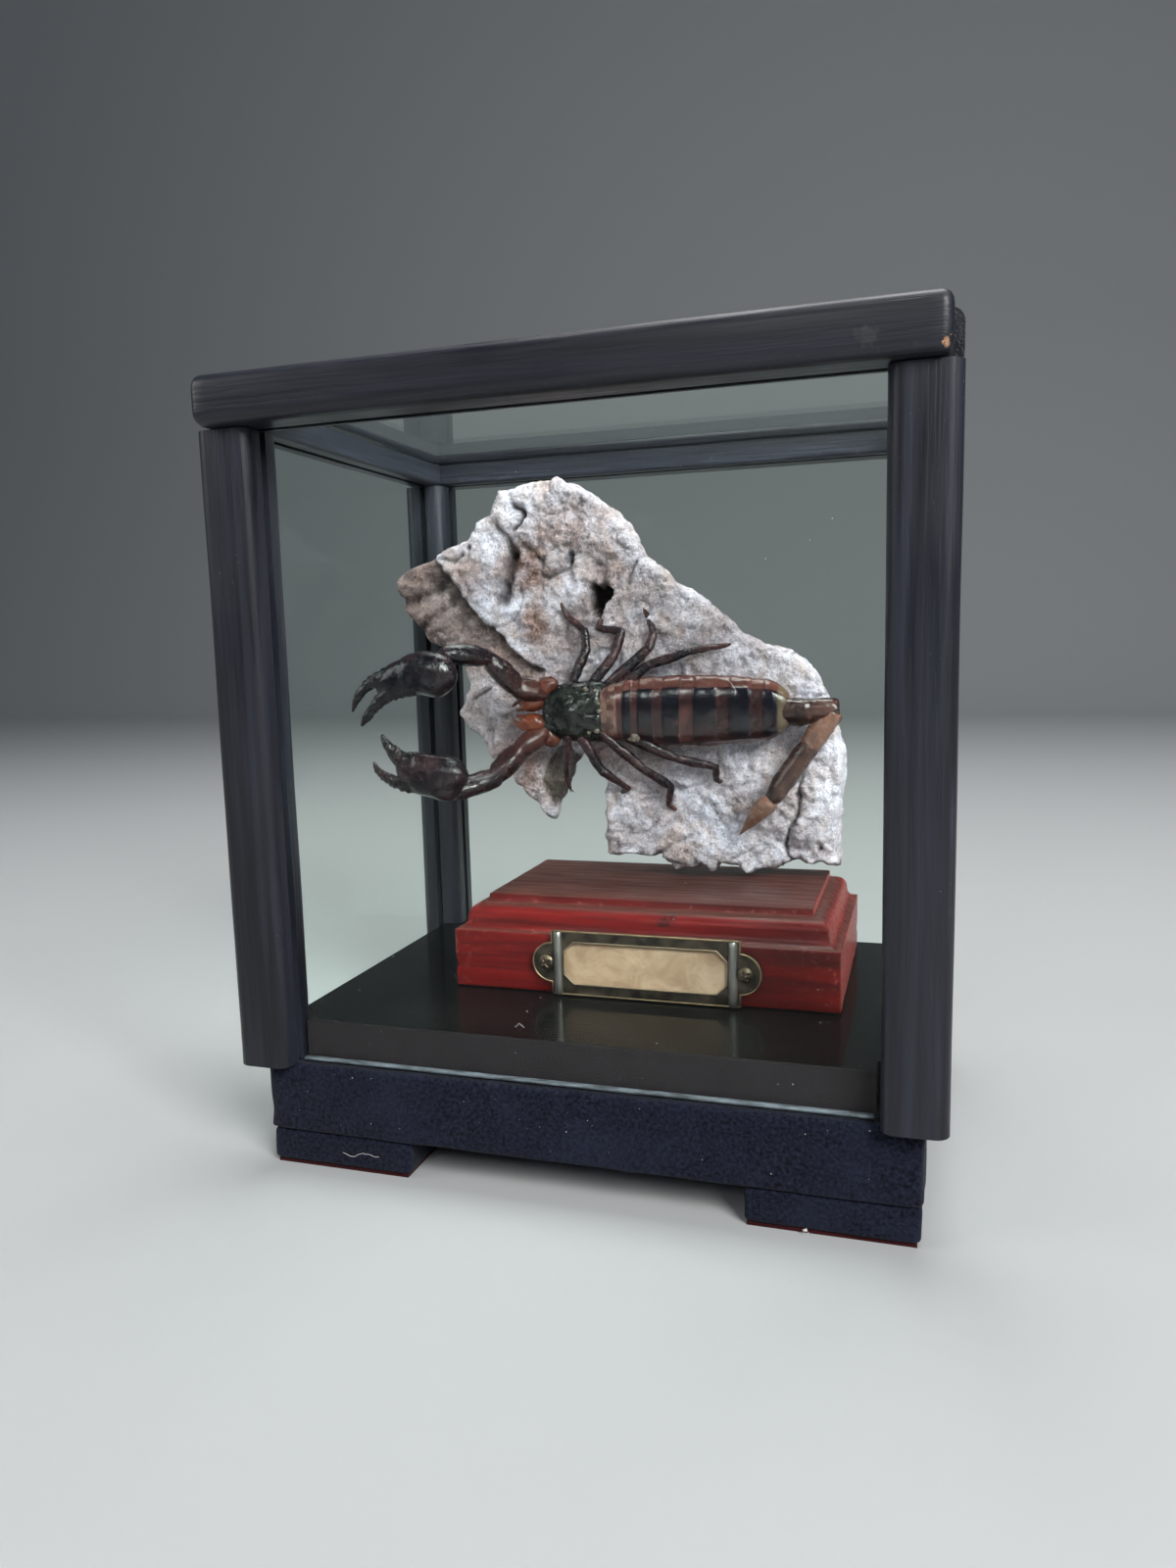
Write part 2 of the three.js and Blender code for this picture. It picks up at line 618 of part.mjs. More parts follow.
// A ring round the body: arched back towards the front, flatter belly towards the rock
function bodyRing(x, halfWidth, back, belly, grow) {
  const count = 12;
  return Array.from({ length: count }, (_, i) => {
    const turn = (2 * Math.PI * i) / count;
    const deep = Math.sin(turn);
    const reach = deep < 0 ? back : belly;
    const z = AXIS_Z + (halfWidth + grow) * Math.sign(Math.cos(turn)) * Math.abs(Math.cos(turn)) ** 0.8;
    return new THREE.Vector3(x, bodyPlane(x) + (reach + grow) * deep, z);
  });
}

const PLATE_EDGES = [-8.5, -3.5, 1, 7, 15, 24, 33, 42.5];
const PLATE_HALF_WIDTHS = [8, 8.7, 9.2, 9.6, 9.8, 9.6, 8.8, 4.3];

function midBody(grow) {
  const rings = [];
  for (let i = 0; i + 1 < PLATE_EDGES.length; i += 1) {
    const [start, end] = [PLATE_EDGES[i], PLATE_EDGES[i + 1]];
    const [w0, w1] = [PLATE_HALF_WIDTHS[i], PLATE_HALF_WIDTHS[i + 1]];
    const last = i + 2 === PLATE_EDGES.length;
    const steps = last ? [0.02, 0.4, 0.75, 0.98] : [0.03, 0.97];
    for (const share of steps) {
      const along = last ? share ** 2.2 : share;
      const half = w0 + (w1 - w0) * along;
      const step = 0.94 + 0.09 * share;
      const back = (last ? 4.4 - 1.6 * along : 4.4) * step;
      const belly = last ? 3.4 - 0.8 * along : 3.4;
      rings.push(bodyRing(start + (end - start) * share, half * step, back, belly, grow));
    }
  }
  return skinOver(rings);
}

function headShield(grow) {
  const stations = [
    [-25.2, 5.4, 2.6, 2.6], [-24.2, 6.6, 3.6, 3.2], [-20, 7.7, 4.2, 3.6], [-16, 8.3, 4.6, 3.8],
    [-11, 8.6, 4.4, 3.8], [-8.6, 8.5, 4, 3.6], [-7.6, 7.8, 3.4, 3.2],
  ];
  const shield = skinOver(stations.map(([x, half, back, belly]) => bodyRing(x, half, back, belly, grow)));
  const eyes = blob([-16.6, bodyPlane(-16.6) - 4.4, AXIS_Z], [2.4, 0.9, 1.3], 0, grow, 7, 5);
  return shield.add(eyes);
}

function jaws(grow) {
  return join([-1, 1].flatMap((side) => [
    blob([-28, 9.4, AXIS_Z + side * 3], [4.2, 3, 2.9], 0, grow, 8, 6),
    limb([[-29, 8.6, AXIS_Z + side * 3.6], [-33.2, 8.2, AXIS_Z + side * 2]], [1.6, 0.5], grow),
    blob([-25, 10.8, AXIS_Z + side * 6.6], [4.2, 3, 2.8], side * 0.6, grow, 7, 5),
  ]));
}

function tail(grow) {
  const rear = [
    [41.5, 16.4, 108.5], [47.2, 17, 108.6], [53.6, 17.4, 109], [53.8, 17, 107.6], [49.6, 16.8, 102.6],
    [45.6, 16.6, 97.8], [36.4, 16.4, 84.2],
  ];
  const pieces = [
    limb([rear[0], rear[1]], [3.2, 3.2], grow, 7, 0.1),
    limb([rear[1], rear[2]], [2.9, 3], grow, 7, 0.08),
    limb([rear[3], rear[4]], [2.9, 2.8], grow, 7, 0.08),
    limb([rear[4], rear[5]], [2.8, 2.7], grow, 7, 0.08),
    limb([rear[5], rear[6]], [2.8, 2.3], grow, 7, 0.12),
    limb([rear[6], [34.6, 16.6, 82], [31, 17.2, 77.6]], [1.7, 2.7, 1.3], grow, 7),
    limb([[31, 17.2, 77.6], [28.6, 17.6, 74.4]], [1.1, 0.3], grow, 6),
  ];
  return join(pieces);
}

// Claw arm: shoulder, upper arm, forearm, then the hand with its two fingers
function upperClaw(grow) {
  return join([
    limb([[-25, 9, 114.5], [-30.5, 5, 117.6], [-35.6, 0, 123.4]], [2.4, 2.6, 2.7], grow, 6, 0.12),
    limb([[-35.6, 0, 123.4], [-41, -4, 127], [-46.6, -9, 124.6]], [2.3, 2.7, 2.3], grow, 6, 0.12),
    blob([-49.2, -10.5, 121], [7.2, 4.6, 6.2], -0.3, grow),
    blob([-53, -11.5, 121.4], [9, 3.9, 4.8], -0.4, grow),
    limb([[-58, -12.4, 120.6], [-64, -13, 118.4], [-68.6, -13.4, 114.8], [-71.2, -13.6, 111]],
      [2.9, 2, 1.4, 0.4], grow, 6),
    limb([[-56, -12, 117.4], [-61.6, -12.8, 114.4], [-66, -13.2, 111.4], [-68.6, -13.4, 107.4]],
      [2.6, 1.9, 1.4, 0.4], grow, 6),
  ]);
}

function lowerClaw(grow) {
  return join([
    limb([[-25, 9, 103.6], [-28.6, 4, 100], [-32.6, 0, 93.6]], [2.4, 2.5, 2.5], grow, 6, 0.12),
    limb([[-32.6, 0, 93.6], [-36.8, -4.4, 89.4], [-42.6, -9, 91.4]], [2.2, 2.6, 2.2], grow, 6, 0.12),
    blob([-46.4, -10.5, 94.2], [7.2, 4.6, 5.4], 0.15, grow),
    blob([-52, -11.5, 95], [7, 3.8, 5.6], 0.2, grow),
    limb([[-53.6, -12, 97.6], [-59.4, -12.8, 101], [-63.2, -13.2, 104.6]], [3, 1.8, 0.4], grow, 6),
    limb([[-53.4, -12, 91], [-59.6, -12.8, 91.6], [-64, -13.2, 94], [-66, -13.4, 97.6]],
      [2.4, 1.7, 1.2, 0.4], grow, 6),
  ]);
}

// Each leg from the body to its foot, as seen from the front; lift is its height over the rock
const LEGS = [
  {
    path: [[-18, 114.5], [-13.5, 126], [-14.5, 131.5], [-20, 135.5], [-22, 139.5]],
    lift: [9, 6, 3.5, 1.2, 0.4],
  },
  {
    path: [[-13, 114.5], [-5.5, 124.5], [-4, 131], [-11, 132], [-9, 137]],
    lift: [9, 6, 4, 2, 0.4],
  },
  {
    path: [[-9, 114.5], [4, 126], [5, 130], [3.5, 134], [1.5, 137]],
    lift: [9, 6, 4, 1.4, 0.4],
  },
  {
    path: [[-5, 114.5], [4, 121.5], [15.5, 125], [21, 126], [27, 126.5]],
    lift: [8, 6, 5, 4, 0.8],
  },
  {
    path: [[-18, 103.5], [-19.5, 95], [-20.5, 90], [-20, 86.5]],
    lift: [9, 5, 2, 0.4],
  },
  {
    path: [[-15, 103.5], [-9.5, 93], [-6, 90], [-2.5, 87], [-6, 85]],
    lift: [9, 6, 5, 3, 0.4],
  },
  {
    path: [[-9, 103.5], [2.5, 93], [9.5, 87.5], [8, 82], [10.5, 80]],
    lift: [9, 6, 4, 1.4, 0.4],
  },
  {
    path: [[-4, 103.5], [11.5, 96], [22, 93], [21.5, 89], [26, 87.5]],
    lift: [9, 6, 4, 1.6, 0.4],
  },
];
const LEG_RADII = [1.5, 1.5, 1.25, 0.95, 0.5];

function leg({ path, lift }, grow) {
  const joints = path.map(([x, z], i) => [x, Math.max(rockFace(x, z) - lift[i], bodyPlane(x) - 2), z]);
  return limb(joints, LEG_RADII.slice(-joints.length), grow);
}

function scorpionSolid(grow = 0) {
  return join([
    midBody(grow), headShield(grow), jaws(grow), tail(grow), upperClaw(grow), lowerClaw(grow),
    ...LEGS.map((path) => leg(path, grow)),
  ]);
}

place(exhibit, 'rock', rockSolid().subtract(scorpionSolid(SETTING)), 'rock');
place(exhibit, 'scorpion', scorpionSolid(), 'scorpion');

export default display;
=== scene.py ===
# %% [markdown]
# # A scorpion on a rock, in a glazed case
# The case stands on four feet: a flocked plinth, a black floor board, dark stained posts and
# rails, and five panes. Inside, a red moulded block carries a rough slab of rock, and the dried
# scorpion is fixed to the rock's face. The solids come packed as a frame. Each cell below either
# gives one of them its finish or lays a finer surface where the solid is too plain.

# %% Load the frame
import itertools

import bmesh
import bpy
import numpy as np
from mathutils import Matrix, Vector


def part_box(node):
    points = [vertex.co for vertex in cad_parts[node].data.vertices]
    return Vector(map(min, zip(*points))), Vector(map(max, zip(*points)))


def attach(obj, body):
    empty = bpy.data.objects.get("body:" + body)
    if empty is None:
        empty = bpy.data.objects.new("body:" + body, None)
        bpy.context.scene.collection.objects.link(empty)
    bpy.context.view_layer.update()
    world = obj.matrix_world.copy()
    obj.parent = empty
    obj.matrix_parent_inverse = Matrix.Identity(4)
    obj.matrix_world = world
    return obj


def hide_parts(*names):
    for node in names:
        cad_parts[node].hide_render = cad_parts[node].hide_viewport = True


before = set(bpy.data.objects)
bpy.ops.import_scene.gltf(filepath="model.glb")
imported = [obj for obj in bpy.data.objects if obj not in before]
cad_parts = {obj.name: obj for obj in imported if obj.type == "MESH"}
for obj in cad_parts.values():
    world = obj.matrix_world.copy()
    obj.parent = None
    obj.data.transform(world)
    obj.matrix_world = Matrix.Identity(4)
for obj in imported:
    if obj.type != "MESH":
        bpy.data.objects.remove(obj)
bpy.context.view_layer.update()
MM = 0.001

# %% [markdown]
# ## Noise in arrays
# Wood, rock and dried shell are never smooth. A value noise gives every point of space a number:
# random values sit on a lattice and are blended between its points. Blender's own displace
# modifier could do the same, but in arrays the same bumps can steer shapes, masks and edges.


# %% Smooth random numbers over space
def lattice(i, j, k=0):
    """One random number from 0 to 1 at each lattice point: the decimals of a large sine."""
    wave = np.sin(i * 127.1 + j * 311.7 + k * 74.7) * 43758.5453
    return wave - np.floor(wave)


def ease(t):
    """Runs from 0 to 1 with flat ends: three t squared less two t cubed."""
    t = np.clip(t, 0, 1)
    return t * t * (3 - 2 * t)


def noise(points, size, seed=0):
    """Smooth noise from 0 to 1: the eight random corners of a point's cell, blended by ease."""
    cell = np.asarray(points, float) / size + seed * 13.7
    low = np.floor(cell)
    share = ease(cell - low)
    total = 0
    for corner in itertools.product((0, 1), repeat=3):
        weight = np.prod(np.where(corner, share, 1 - share), axis=-1)
        total = total + weight * lattice(*np.moveaxis(low + corner, -1, 0))
    return total


def rough(points, size, octaves=4, seed=0):
    """Layers of noise, each half as large and half as strong as the last, from about -1 to 1."""
    layers = [(noise(points, size / 2**n, seed + n) - 0.5) / 2**n for n in range(octaves)]
    return sum(layers) * 2


print("noise at the origin:", round(float(noise([0.3, 0.2, 0.1], 1.0)), 3))

# %% [markdown]
# ## Skins
# Nearly every piece here is a closed skin over rings of points: a post is a section carried along
# its length, a claw is an oval that swells and shrinks along a path. One helper turns the grid of
# rings into faces, closes both ends with a pole and makes the faces look outwards. Masks are
# numbers stored with the points, which a material reads back as an attribute.


# %% From rings to a mesh
def skin(rings, **masks):
    """Closed skin: quads wrap round each ring, and a fan to its mean point shuts each end."""
    rings = np.asarray(rings, float)
    rows, cols = rings.shape[:2]
    ends = rings[[0, -1]].mean(axis=1)
    points = np.vstack([rings.reshape(-1, 3), ends])
    row, col = np.meshgrid(np.arange(rows - 1), np.arange(cols), indexing="ij")
    a = row * cols + col
    b = row * cols + (col + 1) % cols
    quads = np.stack([a, b, b + cols, a + cols], axis=-1).reshape(-1, 4)
    rim = np.arange(cols)
    turn = (rim + 1) % cols
    last = (rows - 1) * cols
    fans = np.vstack([
        np.stack([turn, rim, np.full(cols, rows * cols)], axis=-1),
        np.stack([last + rim, last + turn, np.full(cols, rows * cols + 1)], axis=-1),
    ])
    values = {}
    for name, mask in masks.items():
        spread = np.broadcast_to(np.asarray(mask, float), rings.shape[:2])
        values[name] = np.concatenate([spread.ravel(), spread[[0, -1]].mean(axis=1)])
    middle = points.mean(axis=0)
    corner = points[quads] - middle
    volume = np.einsum("ij,ij->i", corner[:, 0], np.cross(corner[:, 1], corner[:, 2])).sum()
    volume += np.einsum("ij,ij->i", corner[:, 0], np.cross(corner[:, 2], corner[:, 3])).sum()
    if volume < 0:
        quads, fans = quads[:, ::-1], fans[:, ::-1]
    return {"points": points, "faces": quads.tolist() + fans.tolist(), "masks": values}


def together(shells):
    """Several skins as one: their points stacked, and each one's faces counted on from the last."""
    faces, start = [], 0
    names = sorted({name for shell in shells for name in shell["masks"]})
    for shell in shells:
        faces += [[index + start for index in face] for face in shell["faces"]]
        start += len(shell["points"])
    masks = {
        name: np.concatenate([
            shell["masks"].get(name, np.zeros(len(shell["points"]))) for shell in shells
        ])
        for name in names
    }
    return {"points": np.vstack([s["points"] for s in shells]), "faces": faces, "masks": masks}


def piece(name, shell, stands_for=()):
    """Puts a skin, in millimetres, into a mesh object at the origin that goes with the case."""
    mesh = bpy.data.meshes.new(name)
    mesh.from_pydata((shell["points"] * MM).tolist(), [], shell["faces"])
    for mask, values in shell["masks"].items():
        attribute = mesh.attributes.new(mask, "FLOAT", "POINT")
        attribute.data.foreach_set("value", values.astype(np.float32))
    mesh.shade_smooth()
    made = bpy.data.objects.new(name, mesh)
    bpy.context.scene.collection.objects.link(made)
    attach(made, "root")
    if stands_for:
        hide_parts(*stands_for)
    triangles = sum(len(face) - 2 for face in shell["faces"])
    print(f"{name}: {len(shell['points'])} points, {triangles} triangles")
    return made


def corner_box(node):
    """A frame node's lowest and highest corners, in millimetres."""
    return [np.array(corner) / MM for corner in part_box(node)]


# %% [markdown]
# ## Camera
# The view follows from the case's straight edges: the camera stands to the right of its middle, at
# two thirds of its height, turned left and tipped slightly down. The lens follows from the focal
# length, which is given in pixels, as the picture's long side is.

# %% Camera
CAMERA_PLACE = (0.07796, -0.27455, 0.12838)
CAMERA_RIGHT = (0.9536, 0.3000, -0.0256)
CAMERA_UP = (-0.0152, 0.1327, 0.9910)
CAMERA_BACK = (0.3007, -0.9447, 0.1311)
LONG_SIDE = 1600
FOCAL_PIXELS = 1100

camera_data = bpy.data.cameras.new("view")
camera_data.sensor_fit = "VERTICAL"
camera_data.sensor_height = 36
camera_data.sensor_width = 36
camera_data.lens = 36 * FOCAL_PIXELS / LONG_SIDE
camera_data.clip_start = 0.01
camera = bpy.data.objects.new("view", camera_data)
bpy.context.scene.collection.objects.link(camera)
turn = Matrix((CAMERA_RIGHT, CAMERA_UP, CAMERA_BACK)).transposed()
camera.matrix_world = Matrix.Translation(CAMERA_PLACE) @ turn.to_4x4()
bpy.context.scene.camera = camera
print("lens:", round(camera_data.lens, 2), "mm")

# %% [markdown]
# ## Studio
# A pale floor sweeps up behind the case, so that no horizon shows through the panes. The
# strongest soft lamp stands to the right in front, with weaker ones at the left and overhead, and
# a small one in front that puts glints on the shell. The glass lets lamp light through by its own
# material, so the rock inside is lit as it would be in the open. The Standard view keeps the
# block's red as deep as it is, where the default view would pale it.


# %% Floor, lamps and sky
def studio_sweep():
    """Floor and wall in one: flat, then a quarter turn of radius r, then straight up."""
    radius, front, back, top = 0.7, -2.2, 1.5, 2.6
    bend = np.linspace(0, np.pi / 2, 24)
    profile = np.vstack([
        [[front, 0]],
        np.column_stack([back + radius * np.sin(bend), radius * (1 - np.cos(bend))]),
        [[back + radius, top]],
    ])
    sides = np.array([-3.5, 3.5])
    x, along = np.meshgrid(sides, np.arange(len(profile)), indexing="ij")
    points = np.stack([x, profile[along, 0], profile[along, 1]], axis=-1).reshape(-1, 3)
    count = len(profile)
    faces = [(i, i + count, i + count + 1, i + 1) for i in range(count - 1)]
    mesh = bpy.data.meshes.new("studio_sweep")
    mesh.from_pydata(points.tolist(), [], faces)
    mesh.shade_smooth()
    sweep = bpy.data.objects.new("studio_sweep", mesh)
    bpy.context.scene.collection.objects.link(sweep)
    paper = bpy.data.materials.new("pale paper")
    paper.use_nodes = True
    shader = paper.node_tree.nodes["Principled BSDF"]
    shader.inputs["Base Color"].default_value = (0.42, 0.43, 0.43, 1)
    shader.inputs["Roughness"].default_value = 0.9
    mesh.materials.append(paper)


def soft_lamp(name, place, target, size, power):
    """A square area lamp, turned so that it looks from its place to the target."""
    data = bpy.data.lights.new(name, "AREA")
    data.size, data.energy = size, power
    lamp = bpy.data.objects.new(name, data)
    bpy.context.scene.collection.objects.link(lamp)
    back = (np.array(place) - np.array(target)).astype(float)
    back /= np.linalg.norm(back)
    right = np.cross([0, 0, 1], back)
    right /= np.linalg.norm(right)
    turned = Matrix((right, np.cross(back, right), back)).transposed()
    lamp.matrix_world = Matrix.Translation(place) @ turned.to_4x4()


studio_sweep()
soft_lamp("key", (0.8, -0.8, 0.85), (0, 0, 0.1), 0.55, 22)
soft_lamp("fill", (-1.1, -0.6, 0.7), (0, 0, 0.1), 0.7, 5)
soft_lamp("overhead", (0.05, 0.25, 1.2), (0, 0, 0.1), 0.7, 10)
soft_lamp("front", (-0.08, -1.0, 0.62), (0, 0, 0.11), 0.15, 1.0)
sky = bpy.data.worlds.new("studio")
sky.use_nodes = True
sky.node_tree.nodes["Background"].inputs["Color"].default_value = (0.72, 0.84, 1.0, 1)
sky.node_tree.nodes["Background"].inputs["Strength"].default_value = 0.13
bpy.context.scene.world = sky
bpy.context.scene.view_settings.view_transform = "Standard"
print("lamps:", len(bpy.data.lights))

# %% [markdown]
# ## Building materials by code
# Blender's node editor shows a material as boxes joined by wires. Here a small helper adds the
# same boxes and wires, so that each finish below reads as a short recipe. Patterns read Object
# coordinates: the pieces sit at the origin with their place in the mesh, so one metre of pattern
# is one metre of the real thing on every piece.


# %% A helper for node trees
# The Mix node keeps sockets for numbers, vectors and colours; these are the colour ones
COLOUR_A, COLOUR_B, MIXED = 6, 7, 2


class Recipe:
    """Adds nodes to one tree. A value can be a number, a colour or another node's output."""

    def __init__(self, tree):
        self.tree = tree

    def node(self, kind, inputs=None, **fields):
        made = self.tree.nodes.new("ShaderNode" + kind)
        for field, value in fields.items():
            setattr(made, field, value)
        for label, value in (inputs or {}).items():
            self.put(made.inputs[label], value)
        return made

    def put(self, socket, value):
        if isinstance(value, bpy.types.NodeSocket):
            self.tree.links.new(value, socket)
        else:
            socket.default_value = value

    def place(self, scale=(1, 1, 1), turn=(0, 0, 0)):
        """Object coordinates, stretched or turned, with a smaller scale drawing the pattern out."""
        where = self.node("TexCoord").outputs["Object"]
        mapping = self.node("Mapping", {"Vector": where, "Scale": scale, "Rotation": turn})
        return mapping.outputs["Vector"]

    def cloud(self, where, scale, detail=4, bend=0.0, lively=0.5):
        inputs = {"Vector": where, "Scale": scale, "Detail": detail, "Distortion": bend}
        return self.node("TexNoise", inputs | {"Roughness": lively}).outputs["Fac"]

    def cells(self, where, scale):
        return self.node("TexVoronoi", {"Vector": where, "Scale": scale}).outputs["Distance"]

    def between(self, value, low, high, out_low=0.0, out_high=1.0):
        """Runs from out_low to out_high while value runs from low to high, and stops there."""
        made = self.node("MapRange", {"Value": value, "From Min": low, "From Max": high})
        self.put(made.inputs["To Min"], out_low)
        self.put(made.inputs["To Max"], out_high)
        return made.outputs["Result"]

    def sum(self, kind, a, b):
        made = self.node("Math", operation=kind)
        self.put(made.inputs[0], a)
        self.put(made.inputs[1], b)
        return made.outputs["Value"]

    def blend(self, share, a, b, how="MIX"):
        made = self.node("Mix", data_type="RGBA", blend_type=how)
        self.put(made.inputs["Factor"], share)
        self.put(made.inputs[COLOUR_A], a)
        self.put(made.inputs[COLOUR_B], b)
        return made.outputs[MIXED]

    def mask(self, name):
        return self.node("Attribute", attribute_name=name).outputs["Fac"]

    def facing(self, axis):
        """The surface normal's share along X, Y or Z."""
        normal = self.node("NewGeometry").outputs["Normal"]
        return self.node("SeparateXYZ", {"Vector": normal}).outputs[axis]

    def stain_at(self, spot, reach_mm):
        """One round a spot given in millimetres, falling to nothing along a ragged edge."""
        away = self.node("VectorMath", {0: self.place(), 1: [c * MM for c in spot]},
                         operation="DISTANCE")
        ragged = self.between(self.cloud(self.place(), 900.0, 4), 0.3, 0.7, 0.55, 1.45)
        far = self.sum("MULTIPLY", away.outputs["Value"], ragged)
        return self.between(far, reach_mm * MM, reach_mm * 0.6 * MM)

    def relief(self, height, strength, depth_mm):
        made = self.node("Bump",
                         {"Height": height, "Strength": strength, "Distance": depth_mm * MM})
        return made.outputs["Normal"]


def finish(name, **fixed):
    """A new material: its recipe, and its shader with the fixed values set on the shader itself."""
    made = bpy.data.materials.new(name)
    made.use_nodes = True
    shader = made.node_tree.nodes["Principled BSDF"]
    for label, value in fixed.items():
        shader.inputs[label.replace("_", " ")].default_value = value
    return made, Recipe(made.node_tree), shader


def dress(made, *objects):
    """Gives each object this one material."""
    for thing in objects:
        thing.data.materials.clear()
        thing.data.materials.append(made)


print("recipes ready")

# %% [markdown]
# ## Effects that several finishes share
# Three effects come back all over the case: grain that runs along the wood, pale specks of dust
# and lint, and the fine grit of rough surfaces. Each is a node group, built once and placed in a
# material with its own values, so that a change here reaches every finish.


# %% Shared effects
def effect(name, inputs, outputs):
    """An empty node group with its sockets made, and recipe, entry and exit to fill it in."""
    group = bpy.data.node_groups.new(name, "ShaderNodeTree")
    for label, kind, value in inputs:
        socket = group.interface.new_socket(label, in_out="INPUT", socket_type="NodeSocket" + kind)
        if value is not None:
            socket.default_value = value
    for label in outputs:
        group.interface.new_socket(label, in_out="OUTPUT", socket_type="NodeSocketFloat")
    entry = group.nodes.new("NodeGroupInput")
    return group, Recipe(group), entry.outputs, group.nodes.new("NodeGroupOutput").inputs


def use(recipe, group, **values):
    made = recipe.tree.nodes.new("ShaderNodeGroup")
    made.node_tree = group
    for label, value in values.items():
        recipe.put(made.inputs[label], value)
    return made.outputs


grain, recipe, given, result = effect(
    "grain along the wood", [("Where", "Vector", None), ("Fineness", "Float", 1.0)],
    ["Streaks", "Pores"])
broad = recipe.cloud(given["Where"], recipe.sum("MULTIPLY", given["Fineness"], 260), 5, 0.6)
fine = recipe.cloud(given["Where"], recipe.sum("MULTIPLY", given["Fineness"], 1500), 3, 0.1)
recipe.put(result["Streaks"], recipe.between(broad, 0.36, 0.66))
recipe.put(result["Pores"], recipe.between(fine, 0.42, 0.62))

specks, recipe, given, result = effect(
    "dust and lint", [("Where", "Vector", None), ("Amount", "Float", 0.1)], ["Specks"])
dots = recipe.cells(given["Where"], 900.0)
patches = recipe.cloud(given["Where"], 60.0, 2)
near = recipe.between(dots, 0.16, 0.06)
common = recipe.between(patches, recipe.sum("SUBTRACT", 0.7, given["Amount"]), 0.78)
chosen = recipe.between(recipe.cloud(given["Where"], 640.0, 2), 0.56, 0.62)
recipe.put(result["Specks"], recipe.sum("MULTIPLY", near, recipe.sum("MULTIPLY", common, chosen)))

grit, recipe, given, result = effect(
    "fine grit", [("Where", "Vector", None), ("Scale", "Float", 1000.0)], ["Height", "Tone"])
coarse = recipe.cloud(given["Where"], given["Scale"], 6, 0.0, 0.65)
slow = recipe.cloud(given["Where"], recipe.sum("MULTIPLY", given["Scale"], 0.11), 4)
recipe.put(result["Height"], coarse)
recipe.put(result["Tone"], recipe.sum("ADD", recipe.sum("MULTIPLY", coarse, 0.5),
                                      recipe.sum("MULTIPLY", slow, 0.5)))
print("effects:", [group.name for group in bpy.data.node_groups])

# %% [markdown]
# ## Posts and rails
# The frame is planed wood, stained black and rubbed satin. Its edges are rounded by hand, and
# they catch the light in long bluish strips. The frame's solids have one flat facet there, so
# each bar is laid again: its section, with smooth corners and the grooves that hold the panes,
# is carried along its length. A bevel on the solid would work too, but the groove is cleaner so.


# %% Bar sections
POST_CORNER = 3.2
GROOVE_DEPTH = 3.0
TOP_GROOVE_SHARE = 2 / 3
JOIN_WITHIN = 0.002
SHARP_OVER = np.radians(50)


def arc(centre, radius, start, steps=7):
    """A quarter circle: centre plus radius along angles that run on from start."""
    angle = start + np.linspace(0, np.pi / 2, steps)
    return np.asarray(centre) + radius * np.column_stack([np.cos(angle), np.sin(angle)])


def bar_section(width, height, radii, groove=(), depths=()):
    """Anticlockwise outline of a bar: straight sides, quarter circles at the corners, grooves.

    A groove is (side, middle, half its width); side 0 is the bottom, then right, top and left.
    """
    half = np.array([width, height]) / 2
    outline = []
    for side in range(4):
        start = side * np.pi / 2
        along = np.array([np.cos(start), np.sin(start)])
        out = np.array([along[1], -along[0]])
        reach = abs(out @ half)
        for (where, middle, open_half), depth in zip(groove, depths):
            if where == side:
                for step, sunk in ((-open_half, 0), (-open_half, depth), (open_half, depth),
                                   (open_half, 0)):
                    outline.append([along * (middle + step) + out * (reach - sunk)])
        radius = radii[(side + 1) % 4]
        corner = along * (abs(along @ half) - radius) + out * (reach - radius)
        outline.append(arc(corner, radius, start - np.pi / 2))
    return np.vstack(outline)


def worn(section_at, stations, corners, seed):
    """Carries a section along stations of (place, inset, groove depth), a little unevenly."""
    rings = []
    for place, inset, depth in stations:
        section = section_at(depth)
        reach = np.abs(section).max(axis=0)
        section = section * (1 - inset / reach)
        rings.append(np.column_stack([section, np.full(len(section), place)]))
    rings = np.array(rings)
    waver = 0.1 * (rough(rings * [1, 1, 0.25], 9, 2, seed) - 1)
    rings[..., :2] *= (1 + waver / np.abs(rings[..., :2]).max())[..., None]
    edge = np.clip(np.abs(rings[..., 0]) + np.abs(rings[..., 1]) - corners, 0, None)
    return rings, ease(edge / max(edge.max(), 1e-6))


def bar_stations(length, ease_end, groove_reach, depth, count=40):
    """Stations along a bar: rounded at both ends, and grooved only where a pane reaches."""
    half = length / 2
    turn = np.linspace(0, np.pi / 2, 5)
    ends = [(half - ease_end * (1 - np.sin(t)), ease_end * (1 - np.cos(t))) for t in turn]
    inner = np.linspace(-half + ease_end, half - ease_end, count)[1:-1]
    edges = [groove_reach - 0.01, groove_reach + 0.01]
    extra = [side * e for side in (-1, 1) for e in edges if e < half - ease_end]
    places = sorted([*inner, *extra])
    rows = [(-place, inset) for place, inset in ends[::-1]] + [(place, 0) for place in places]
    rows += ends
    return [(place, inset, depth if abs(place) < groove_reach else 0.0) for place, inset in rows]


def crisp(bars):
    """Joins points that fall together at a groove's end, and keeps cut edges sharp in shading."""
    for bar in bars:
        shape = bmesh.new()
        shape.from_mesh(bar.data)
        bmesh.ops.remove_doubles(shape, verts=shape.verts, dist=JOIN_WITHIN * MM)
        shape.to_mesh(bar.data)
        shape.free()
        bar.data.set_sharp_from_angle(angle=SHARP_OVER)


print("a post's section has", len(bar_section(14, 14, [POST_CORNER] * 4)), "points")

